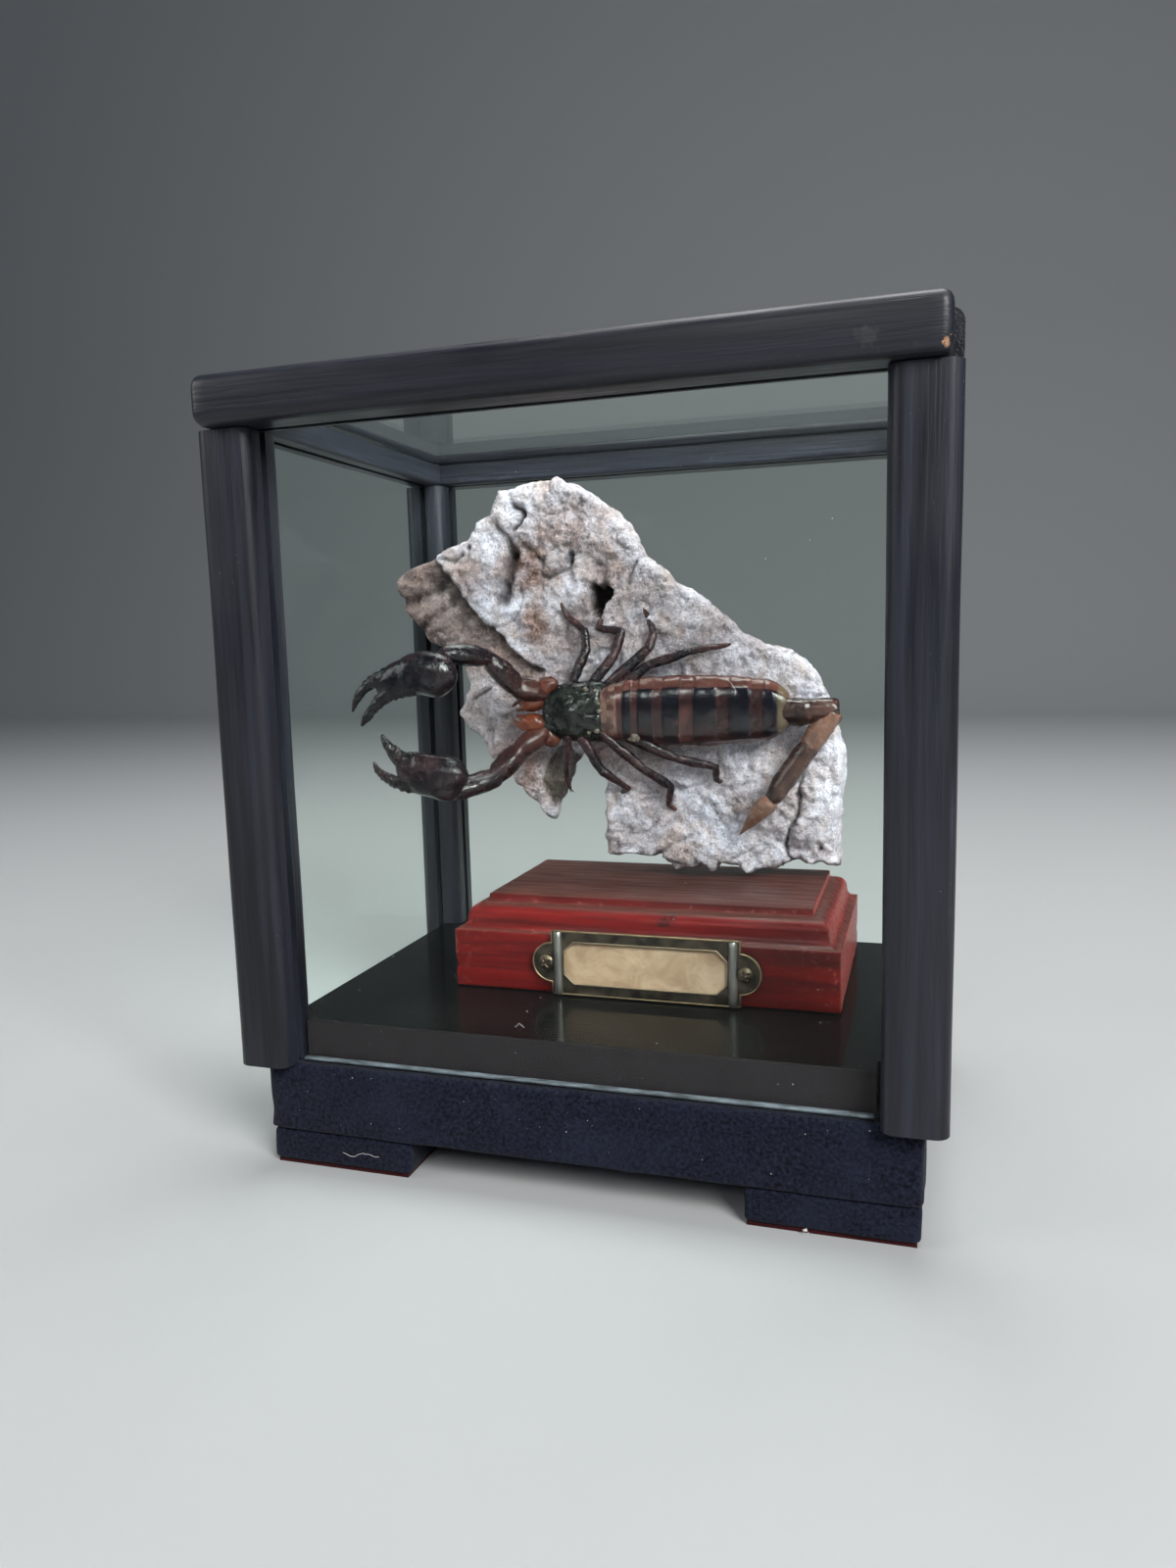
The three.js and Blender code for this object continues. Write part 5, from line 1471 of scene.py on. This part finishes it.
# %% [markdown]
# ### Legs
# Eight thin legs come from under the shield, each with a long thigh, a shorter shin, and a foot of
# one or two short links with a pair of small hooks. Seven end in the rock's crust, and the front
# lower one hangs free over the notch. The list gives each joint across and up, and its height over
# the slow lumps of the rock's face.

# %% Legs
LEGS = [
    ([(-18, 114.5), (-13.5, 126), (-14.5, 131.5), (-20, 135.5), (-22, 139.5)],
     (9, 6, 3.5, 1.2, 0.4)),
    ([(-13, 114.5), (-5.5, 124.5), (-4, 131), (-11, 132), (-9, 137)], (9, 6, 4, 2, 0.4)),
    ([(-9, 114.5), (4, 126), (5, 130), (3.5, 134), (1.5, 137)], (9, 6, 4, 1.4, 0.4)),
    ([(-5, 114.5), (4, 121.5), (15.5, 125), (21, 126), (27, 126.5)], (8, 6, 5, 4, 0.8)),
    ([(-18, 103.5), (-19.5, 95), (-20.5, 90), (-20, 86.5)], (9, 5, 2, 0.4)),
    ([(-15, 103.5), (-9.5, 93), (-6, 90), (-2.5, 87), (-6, 85)], (9, 6, 5, 3, 0.4)),
    ([(-9, 103.5), (2.5, 93), (9.5, 87.5), (8, 82), (10.5, 80)], (9, 6, 4, 1.4, 0.4)),
    ([(-4, 103.5), (11.5, 96), (22, 93), (21.5, 89), (26, 87.5)], (9, 6, 4, 1.6, 0.4)),
]
LEG_RADII = (1.25, 1.25, 1.0, 0.75, 0.42)


def leg(places, lifts, seed):
    """Joints at their height over the rock, joined by stiff parts, with two hooks past the last."""
    x, z = np.array(places, float).T
    y = np.maximum(rock_front(x, z) - np.array(lifts), body_plane(x) - 2)
    joints = np.column_stack([x, y, z])
    radii = LEG_RADII[-len(joints):]
    shells = []
    for i in range(len(joints) - 1):
        rings, t = segment(joints[i], joints[i + 1], radii[i], radii[i + 1] * 1.08, 5, 0.1, 0.8,
                           seed + i)
        share = (i + t) / (len(joints) - 1)
        shells.append(skin(rings, bare=ease((share - 0.45) / 0.6)[:, None]))
    ahead = (joints[-1] - joints[-2]) / np.linalg.norm(joints[-1] - joints[-2])
    side = np.cross(ahead, [0, 1, 0])
    for way in (-1, 1):
        tip = joints[-1] + ahead * 1.3 + side * way * 0.6 + [0, 0.2, 0]
        rings, t = segment(joints[-1], tip, 0.26, 0.1, 3, 0, 1, seed, 8, 8)
        shells.append(skin(rings, bare=0.8))
    return shells


leg_piece = piece("eight_legs", together([part for number, (places, lifts) in enumerate(LEGS)
                                          for part in leg(places, lifts, 110 + 7 * number)]),
                  ["scorpion"])

# %% [markdown]
# ### Tail and sting
# The tail turns back on itself at the far right: two short dark links, then a pale amber one, a
# long dark one, and the amber bulb that ends in the sting. Each link has raised keels
# along it, as real ones do, made by swelling the tube's radius at fixed angles.


# %% Tail
def tail_link(start, end, first, last, amber, seed):
    rings, t = segment(start, end, first, last, 7, 0.08, 0.95, seed, 34, 30)
    angle = np.linspace(0, 2 * np.pi, 30, endpoint=False)
    keel = np.abs(np.cos(2.5 * angle)) ** 8
    middle = rings.mean(axis=1, keepdims=True)
    swell = 0.07 * keel[None] * (0.4 + 0.6 * np.sin(np.pi * t))[:, None]
    rings = rings + (rings - middle) * swell[..., None]
    return skin(rings, amber=amber, joint=(np.clip(1 - 7 * np.minimum(t, 1 - t), 0, 1))[:, None])


def sting_bulb(count=60):
    """Bulb and needle as one tube: its radius follows the CAD's stations to a fine point."""
    path = along([(38, 16.4, 85.2), (35.8, 16.6, 82.6), (31.4, 17.2, 77.8), (28.5, 17.6, 74.3)],
                 count)
    t = np.linspace(0, 1, count)
    places = (0, 0.08, 0.22, 0.36, 0.52, 0.68, 0.84, 1)
    radius = np.interp(t, places, (1.2, 1.9, 2.6, 2.75, 2.2, 1.35, 0.7, 0.1))
    rings = crinkle(tube(path, radius, radius * 0.95, 28), 2.0, 0.15, 131)
    return skin(rings, amber=(1.0 - 0.25 * ease((t - 0.7) / 0.3))[:, None], joint=0.0)


tail_piece = piece("tail_and_sting", together([
    tail_link((42.2, 16.4, 108.5), (46.6, 17, 108.6), 3.2, 3.2, 0.04, 121),
    tail_link((47.6, 17, 108.6), (53.2, 17.3, 108.9), 2.9, 3.0, 0.05, 122),
    tail_link((53.2, 17, 107), (47.9, 16.8, 99.2), 2.75, 2.6, 0.85, 123),
    tail_link((47.3, 16.6, 98.3), (38.3, 16.4, 85.6), 2.75, 2.35, 0.12, 124),
    sting_bulb(),
]), ["scorpion"])

# %% [markdown]
# ### Shell finishes
# One recipe makes all the shells: a dark glossy coat over purple-brown, with fine wrinkles and
# dust in them. The masks change its tone: reddish membranes and strips, a tan first plate, olive
# at the last one, red where a limb is thin, amber in the tail. Colours are blended in the same
# order each time, from the deepest tone to the palest.


# %% Shell recipe
def shell(name, deep, brown, layers, wrinkle=0.5, shine=(0.12, 0.34), fine=700.0, gloss=0.5):
    """Dark shell with layers of (mask, colour, strength) over it, glossier where it is bare."""
    made, recipe, shader = finish(name, Coat_Weight=gloss, Coat_Roughness=0.12,
                                  Specular_IOR_Level=0.32)
    where = recipe.place()
    blotch = recipe.cloud(where, 160.0, 5, 0.7)
    colour = recipe.blend(recipe.between(blotch, 0.42, 0.7), deep, brown)
    for mask, tone, strength in layers:
        uneven = recipe.between(recipe.cloud(where, 420.0, 5, 0.5), 0.34, 0.58, 0.5, 1.0)
        share = recipe.sum("MULTIPLY", recipe.mask(mask), recipe.sum("MULTIPLY", uneven, strength))
        colour = recipe.blend(share, colour, tone)
    lines = recipe.cloud(recipe.place(), fine, 5, 0.5, 0.6)
    dull = recipe.between(lines, 0.45, 0.65)
    dust = use(recipe, specks, Where=where, Amount=0.1)["Specks"]
    colour = recipe.blend(recipe.sum("MULTIPLY", dust, 0.4), colour, (0.4, 0.36, 0.36, 1))
    recipe.put(shader.inputs["Base Color"], colour)
    rough_here = recipe.between(dull, 0, 1, *shine)
    recipe.put(shader.inputs["Roughness"],
               recipe.sum("ADD", rough_here, recipe.sum("MULTIPLY", dust, 0.4)))
    recipe.put(shader.inputs["Normal"], recipe.relief(lines, wrinkle, 0.35))
    return made


dress(shell("trunk shell", (0.028, 0.01, 0.011, 1), (0.09, 0.034, 0.03, 1), [
    ("dim", (0.022, 0.008, 0.008, 1), 1.0),
    ("strip", (0.09, 0.032, 0.023, 1), 0.8),
    ("band", (0.06, 0.026, 0.023, 1), 1.2),
    ("tan", (0.2, 0.12, 0.095, 1), 0.9),
    ("plate", (0.004, 0.004, 0.008, 1), 1.4),
    ("warm", (0.03, 0.008, 0.007, 1), 0.7),
    ("olive", (0.11, 0.08, 0.045, 1), 0.8),
], 0.35, (0.1, 0.26)), trunk_piece)
dress(shell("head shell", (0.003, 0.0035, 0.0035, 1), (0.012, 0.014, 0.01, 1), [
    ("eye", (0.002, 0.002, 0.002, 1), 1.0),
], 0.7, (0.14, 0.4), 520.0), head_piece)
dress(shell("jaw shell", (0.045, 0.012, 0.008, 1), (0.12, 0.03, 0.014, 1), [
    ("rust", (0.17, 0.038, 0.016, 1), 0.65),
], 0.4, (0.18, 0.36)), jaw_piece)
dress(shell("claw shell", (0.003, 0.0025, 0.0045, 1), (0.02, 0.009, 0.011, 1), [
    ("bare", (0.09, 0.025, 0.016, 1), 0.8),
    ("finger", (0.014, 0.012, 0.012, 1), 0.4),
], 0.6, (0.15, 0.32), 750.0, 0.3), claw_piece)
dress(shell("leg shell", (0.006, 0.003, 0.0055, 1), (0.045, 0.016, 0.018, 1), [
    ("bare", (0.075, 0.024, 0.017, 1), 0.6),
], 0.7, (0.2, 0.42), 900.0, 0.3), leg_piece)
dress(shell("tail shell", (0.014, 0.007, 0.007, 1), (0.06, 0.026, 0.021, 1), [
    ("joint", (0.03, 0.01, 0.008, 1), 0.6),
    ("amber", (0.21, 0.105, 0.075, 1), 0.9),
], 0.5, (0.16, 0.36)), tail_piece)
print("shells:", [made.name for made in bpy.data.materials if "shell" in made.name])

# %% [markdown]
# ## Card holder
# The holder is one stamped plate of dark antique brass. Its shape is right as packed, so it keeps
# its solid and gets a finish. What catches the eye is added: a thin golden line where the plate's
# edges are rubbed bare, round the outline and round the window, and two bright folds, whose silvery
# colour is partly rubbed metal and partly a painted highlight. Each is a fine tube along a path,
# because a bevel that small would cost the whole plate many faces.

# %% The holder's own sizes
holder_low, holder_high = corner_box("label_holder")
HOLDER_X, HOLDER_Z = (holder_low + holder_high)[[0, 2]] / 2
PLATE_FACE = holder_high[1] - 1.4
PLATE_HALF, EAR_AT, EAR_RADIUS = (24.75, 8.4), 24.8, 5.2
WINDOW_HALF, WINDOW_CUT, FOLD_AT, FOLD_RADIUS = (21.3, 5.6), 2.6, 22.85, 1.12


def spaced(corners, step=0.8):
    """Even steps along the straight sides between corners, all the way round."""
    corners = np.asarray(corners, float)
    sides = []
    for start, end in zip(corners, np.roll(corners, -1, axis=0)):
        count = max(1, int(np.linalg.norm(end - start) / step))
        sides.append(start + (end - start) * np.linspace(0, 1, count, endpoint=False)[:, None])
    return np.vstack(sides)


def closed_line(path, radius, depth, bright):
    """A small circle carried round a closed path that lies in the plate's plane."""
    path = np.asarray(path, float)
    ahead = np.roll(path, -1, axis=0) - np.roll(path, 1, axis=0)
    ahead /= np.linalg.norm(ahead, axis=1)[:, None]
    angle = np.linspace(0, 2 * np.pi, 8, endpoint=False)
    x = path[:, :1] + ahead[:, 1:] * radius * np.cos(angle)
    z = path[:, 1:] - ahead[:, :1] * radius * np.cos(angle)
    y = np.broadcast_to(depth + radius * np.sin(angle), x.shape)
    rings = np.stack([HOLDER_X + x, y, HOLDER_Z + z], axis=-1)
    count, cols = x.shape
    row, col = np.meshgrid(np.arange(count), np.arange(cols), indexing="ij")
    after, beside = (row + 1) % count, (col + 1) % cols
    faces = [row * cols + col, after * cols + col, after * cols + beside, row * cols + beside]
    points = rings.reshape(-1, 3)
    turning = np.cross(rings[1, 0] - rings[0, 0], rings[0, 1] - rings[0, 0])
    if turning @ (rings[0, 0] - rings[0].mean(axis=0)) < 0:
        faces = faces[::-1]
    return {"points": points, "faces": np.stack(faces, axis=-1).reshape(-1, 4).tolist(),
            "masks": {"bright": np.full(len(points), bright)}}


def plate_outline():
    """The plate's rectangle with half a round ear at each end."""
    (half_x, half_z), turn = PLATE_HALF, np.linspace(-np.pi / 2, np.pi / 2, 24)
    ear = np.column_stack([EAR_AT + EAR_RADIUS * np.cos(turn), EAR_RADIUS * np.sin(turn)])
    right = np.vstack([spaced([(0, -half_z), (half_x, -half_z)])[:31],
                       [[half_x, -half_z], [half_x, -EAR_RADIUS - 0.2]], ear,
                       [[half_x, EAR_RADIUS + 0.2], [half_x, half_z]],
                       spaced([(half_x, half_z), (0, half_z)])[1:31]])
    return np.vstack([right, (right * [-1, 1])[::-1][1:-1]]) * 0.992


half_x, half_z = WINDOW_HALF
window_edge = spaced([
    (WINDOW_CUT - half_x, half_z), (half_x - WINDOW_CUT, half_z), (half_x, half_z - WINDOW_CUT),
    (half_x, WINDOW_CUT - half_z), (half_x - WINDOW_CUT, -half_z), (WINDOW_CUT - half_x, -half_z),
    (-half_x, WINDOW_CUT - half_z), (-half_x, half_z - WINDOW_CUT),
])


def fold(side):
    """A round bead up the plate's end, full height, with closed ends."""
    z = np.concatenate([[-8.4, -8.38], np.linspace(-8.2, 8.2, 12), [8.38, 8.4]])
    radius = np.interp(z, (-8.4, -8.2, 8.2, 8.4), (0.9, FOLD_RADIUS, FOLD_RADIUS, 0.9))
    path = np.column_stack([np.full_like(z, HOLDER_X + side * FOLD_AT),
                            np.full_like(z, PLATE_FACE), HOLDER_Z + z])
    # bright=1.0 colours the bead silvery: rubbed metal and, in part, a painted highlight.
    return skin(tube(path, radius, radius, 20), bright=1.0)


lines = together([
    closed_line(plate_outline(), 0.2, PLATE_FACE + 0.05, 0.55),
    closed_line(window_edge, 0.2, PLATE_FACE + 0.02, 0.7),
    fold(-1), fold(1),
])
holder_lines = piece("holder_rubbed_edges_and_highlit_folds", lines)


# %% Screws
def screw_head(node):
    """Dome over the radius, pressed in where a cross of two bars lies, and flat underneath."""
    low, high = corner_box(node)
    x, z = ((low + high) / 2)[[0, 2]]
    reach = (high - low)[2] / 2
    share = np.concatenate([np.linspace(0.02, 0.98, 26), [1.0, 1.0]])
    angle = np.linspace(0, 2 * np.pi, 72, endpoint=False) + 0.35
    across, up = share[:, None] * reach * np.cos(angle), share[:, None] * reach * np.sin(angle)
    dome = 1.15 * np.sqrt(1 - 0.86 * share**2)[:, None] - 0.1
    bars = [ease((0.3 - np.abs(a)) / 0.14) * ease((1.35 - np.abs(b)) / 0.3)
            for a, b in ((across, up), (up, across))]
    height = dome - 0.62 * np.maximum(*bars) * (1 - 0.4 * share[:, None])
    height[-1] = 0
    turned_x = across * np.cos(0.5) - up * np.sin(0.5)
    turned_z = across * np.sin(0.5) + up * np.cos(0.5)
    face = low[1] + 1.15
    return skin(np.stack([x + turned_x, face - height, z + turned_z], axis=-1), bright=0.12)


screws = [piece(f"cross_screw_{side}", screw_head(f"label_screw_{side}"),
                [f"label_screw_{side}"])
          for side, _ in SIDES]


# %% Antique brass and card
def antique_brass(name, worn_share):
    """Nearly black mottled metal, gold where rubbed; its silvery folds are partly painted
    highlight.
    """
    made, recipe, shader = finish(name, Metallic=1.0)
    where = recipe.place()
    mottle = recipe.cloud(where, 330.0, 5, 0.4)
    dark = recipe.blend(recipe.between(mottle, 0.35, 0.65), (0.028, 0.025, 0.024, 1),
                        (0.1, 0.08, 0.064, 1))
    # The bright mask runs from rubbed gold to silvery grey at 1, on the folds, where the silver is
    # partly a painted highlight.
    gold = recipe.blend(recipe.between(recipe.mask("bright"), 0.6, 0.95), (0.4, 0.29, 0.165, 1),
                        (0.3, 0.285, 0.27, 1))
    rub = recipe.between(recipe.cloud(where, 500.0, 4), 0.3, 0.6, 0.5, 1.0)
    worn_here = recipe.sum("MULTIPLY", rub, recipe.sum("ADD", recipe.mask("bright"), worn_share))
    colour = recipe.blend(recipe.between(worn_here, 0.0, 0.55), dark, gold)
    pores = use(recipe, grit, Where=where, Scale=2600.0)
    recipe.put(shader.inputs["Base Color"], colour)
    recipe.put(shader.inputs["Roughness"], recipe.between(mottle, 0.3, 0.7, 0.34, 0.6))
    recipe.put(shader.inputs["Normal"], recipe.relief(pores["Height"], 0.25, 0.05))
    return made


dress(antique_brass("antique brass", 0.03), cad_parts["label_holder"], holder_lines)
dress(antique_brass("dark screw brass", 0.0), *screws)

made, recipe, shader = finish("parchment card", Roughness=0.75, Specular_IOR_Level=0.25)
where = recipe.place()
blotch = recipe.cloud(where, 130.0, 6, 0.8, 0.6)
colour = recipe.blend(recipe.between(blotch, 0.36, 0.64), (0.26, 0.168, 0.105, 1),
                      (0.42, 0.3, 0.205, 1))
foxing = recipe.between(recipe.cloud(where, 480.0, 5), 0.58, 0.72, 0, 0.35)
colour = recipe.blend(foxing, colour, (0.3, 0.17, 0.08, 1))
fibre = recipe.cloud(recipe.place((1, 1, 0.3)), 2400.0, 3)
recipe.put(shader.inputs["Base Color"], colour)
recipe.put(shader.inputs["Normal"], recipe.relief(fibre, 0.3, 0.04))
dress(made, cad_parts["label_card"])
print("holder, screws and card finished")

# %% [markdown]
# ## Dust, lint and glue
# The case has stood for years. White flecks and a few hairs sit on the front pane and on the
# flock, a ground strip shows at the lower edges of the front and back panes, and bits of dried
# glue cling to the animal. They are real little solids, so they cast their own shadows and stay
# put from any side.


# %% Flecks, hairs and glue
def flecks(count, low, high, size, seed):
    """Tiny pointed grains: cubes with their corners pulled about, at random places in a box."""
    number = np.arange(count)
    share = np.column_stack([lattice(number, 3 * seed + axis) for axis in range(3)])
    middle = np.asarray(low) + share * (np.asarray(high) - low)
    cube = np.array(list(itertools.product((-1, 1), repeat=3)), float)
    wobble = 0.45 + 0.9 * lattice(number[:, None, None], np.arange(8)[None, :, None],
                                  np.arange(3)[None, None] + seed)
    grown = size * (0.4 + 1.2 * lattice(number, seed, 5) ** 2)
    points = middle[:, None] + cube * wobble * grown[:, None, None] * [1, 0.25, 1]
    sides = np.array([(0, 1, 3, 2), (4, 6, 7, 5), (0, 4, 5, 1), (2, 3, 7, 6), (0, 2, 6, 4),
                      (1, 5, 7, 3)])
    faces = (8 * number[:, None, None] + sides).reshape(-1, 4)
    return {"points": points.reshape(-1, 3), "faces": faces.tolist(), "masks": {}}


def hair(path, radius, seed, steps=26):
    """A fine tube that wanders a little to both sides of its path."""
    line = along(path, steps)
    line[:, [0, 2]] += 0.25 * np.column_stack([rough(line, 1.2, 2, seed),
                                               rough(line, 1.2, 2, seed + 1)])
    thin = np.full(steps, radius)
    return skin(tube(line, thin, thin, 5))


outside = pane_low[1] - 0.06
foot_face = corner_box("foot_front_left")[0][1] - 0.05
flock_face = plinth_low[1] - 0.02
dust_shells = [
    flecks(60, (-66, outside, 32), (66, outside, 176), 0.06, 1),
    flecks(30, (-70, outside, 30), (70, outside, 60), 0.07, 2),
    flecks(40, (-74, flock_face, 12), (74, flock_face, 26), 0.075, 3),
    flecks(3, (54, foot_face, 0.6), (55, foot_face, 1.3), 0.25, 9),
    hair([(-58.4, foot_face, 4.9), (-55.4, foot_face, 4.2), (-52.7, foot_face, 5.2),
          (-48.4, foot_face, 4.8)], 0.06, 5),
    hair([(-12, outside, 41), (-10.5, outside, 41.8), (-9.4, outside, 40.8)], 0.035, 7),
    hair([(38, outside, 120), (39.4, outside, 118.4), (39.6, outside, 116.6)], 0.03, 9),
]
dust_piece = piece("dust_and_lint", together(dust_shells))

glue_spots = [(-9.4, 115), (-8.7, 111.8), (-9.8, 106.6), (-9.2, 104), (-12, 115.2),
              (-11.4, 103.6), (-8.2, 109.4), (0.6, 102)]


def glue(number, x, z):
    """A low ragged crumb of glue that sits half in the shell below it."""
    size = 0.45 + 0.35 * lattice(number, 2) + (1.2 if x > -1 else 0)
    flat_size = (size * 1.2, 0.22, size * 0.8)
    middle = (x, body_plane(x) - 4.1 + 0.024 * (z - BODY_AXIS) ** 2, z)
    return skin(swollen(middle, [((0, 0, 0), flat_size, number)], 20, 26, (0.7, 0.4), number))


glue_piece = piece("glue_crumbs", together([glue(n, x, z) for n, (x, z) in enumerate(glue_spots)]))


def ground_edge(sign_y):
    """The pane's ground lower edge: a slim bar, nearly as long as the pane."""
    low, high = corner_box("glass_front" if sign_y < 0 else "glass_back")
    steps = 30
    x = np.linspace(low[0] + 4, high[0] - 4, steps)
    path = np.column_stack([x, np.full_like(x, (low[1] + high[1]) / 2),
                            np.full_like(x, low[2] + 0.55)])
    return skin(tube(path, np.full(steps, 0.5), np.full(steps, 1.06), 12))


edge_piece = piece("ground_pane_edges", together([ground_edge(-1), ground_edge(1)]))
made, recipe, shader = finish("dust grey", Roughness=0.95, Specular_IOR_Level=0.2)
shade = recipe.cloud(recipe.place(), 500.0, 3)
recipe.put(shader.inputs["Base Color"],
           recipe.blend(shade, (0.5, 0.5, 0.52, 1), (0.72, 0.7, 0.66, 1)))
dress(made, dust_piece)
made, recipe, shader = finish("dried glue", Roughness=0.45)
shade = recipe.cloud(recipe.place(), 900.0, 5)
recipe.put(shader.inputs["Base Color"],
           recipe.blend(recipe.between(shade, 0.4, 0.6), (0.035, 0.03, 0.026, 1),
                        (0.2, 0.155, 0.12, 1)))
recipe.put(shader.inputs["Normal"], recipe.relief(shade, 0.6, 0.2))
dress(made, glue_piece)
made, recipe, shader = finish("ground glass edge", Roughness=0.5)
chips = recipe.cloud(recipe.place((0.3, 1, 1)), 700.0, 5)
recipe.put(shader.inputs["Base Color"],
           recipe.blend(recipe.between(chips, 0.35, 0.65), (0.02, 0.026, 0.03, 1),
                        (0.1, 0.12, 0.14, 1)))
recipe.put(shader.inputs["Normal"], recipe.relief(chips, 0.4, 0.1))
dress(made, edge_piece)
print("dust, glue and ground edges finished")
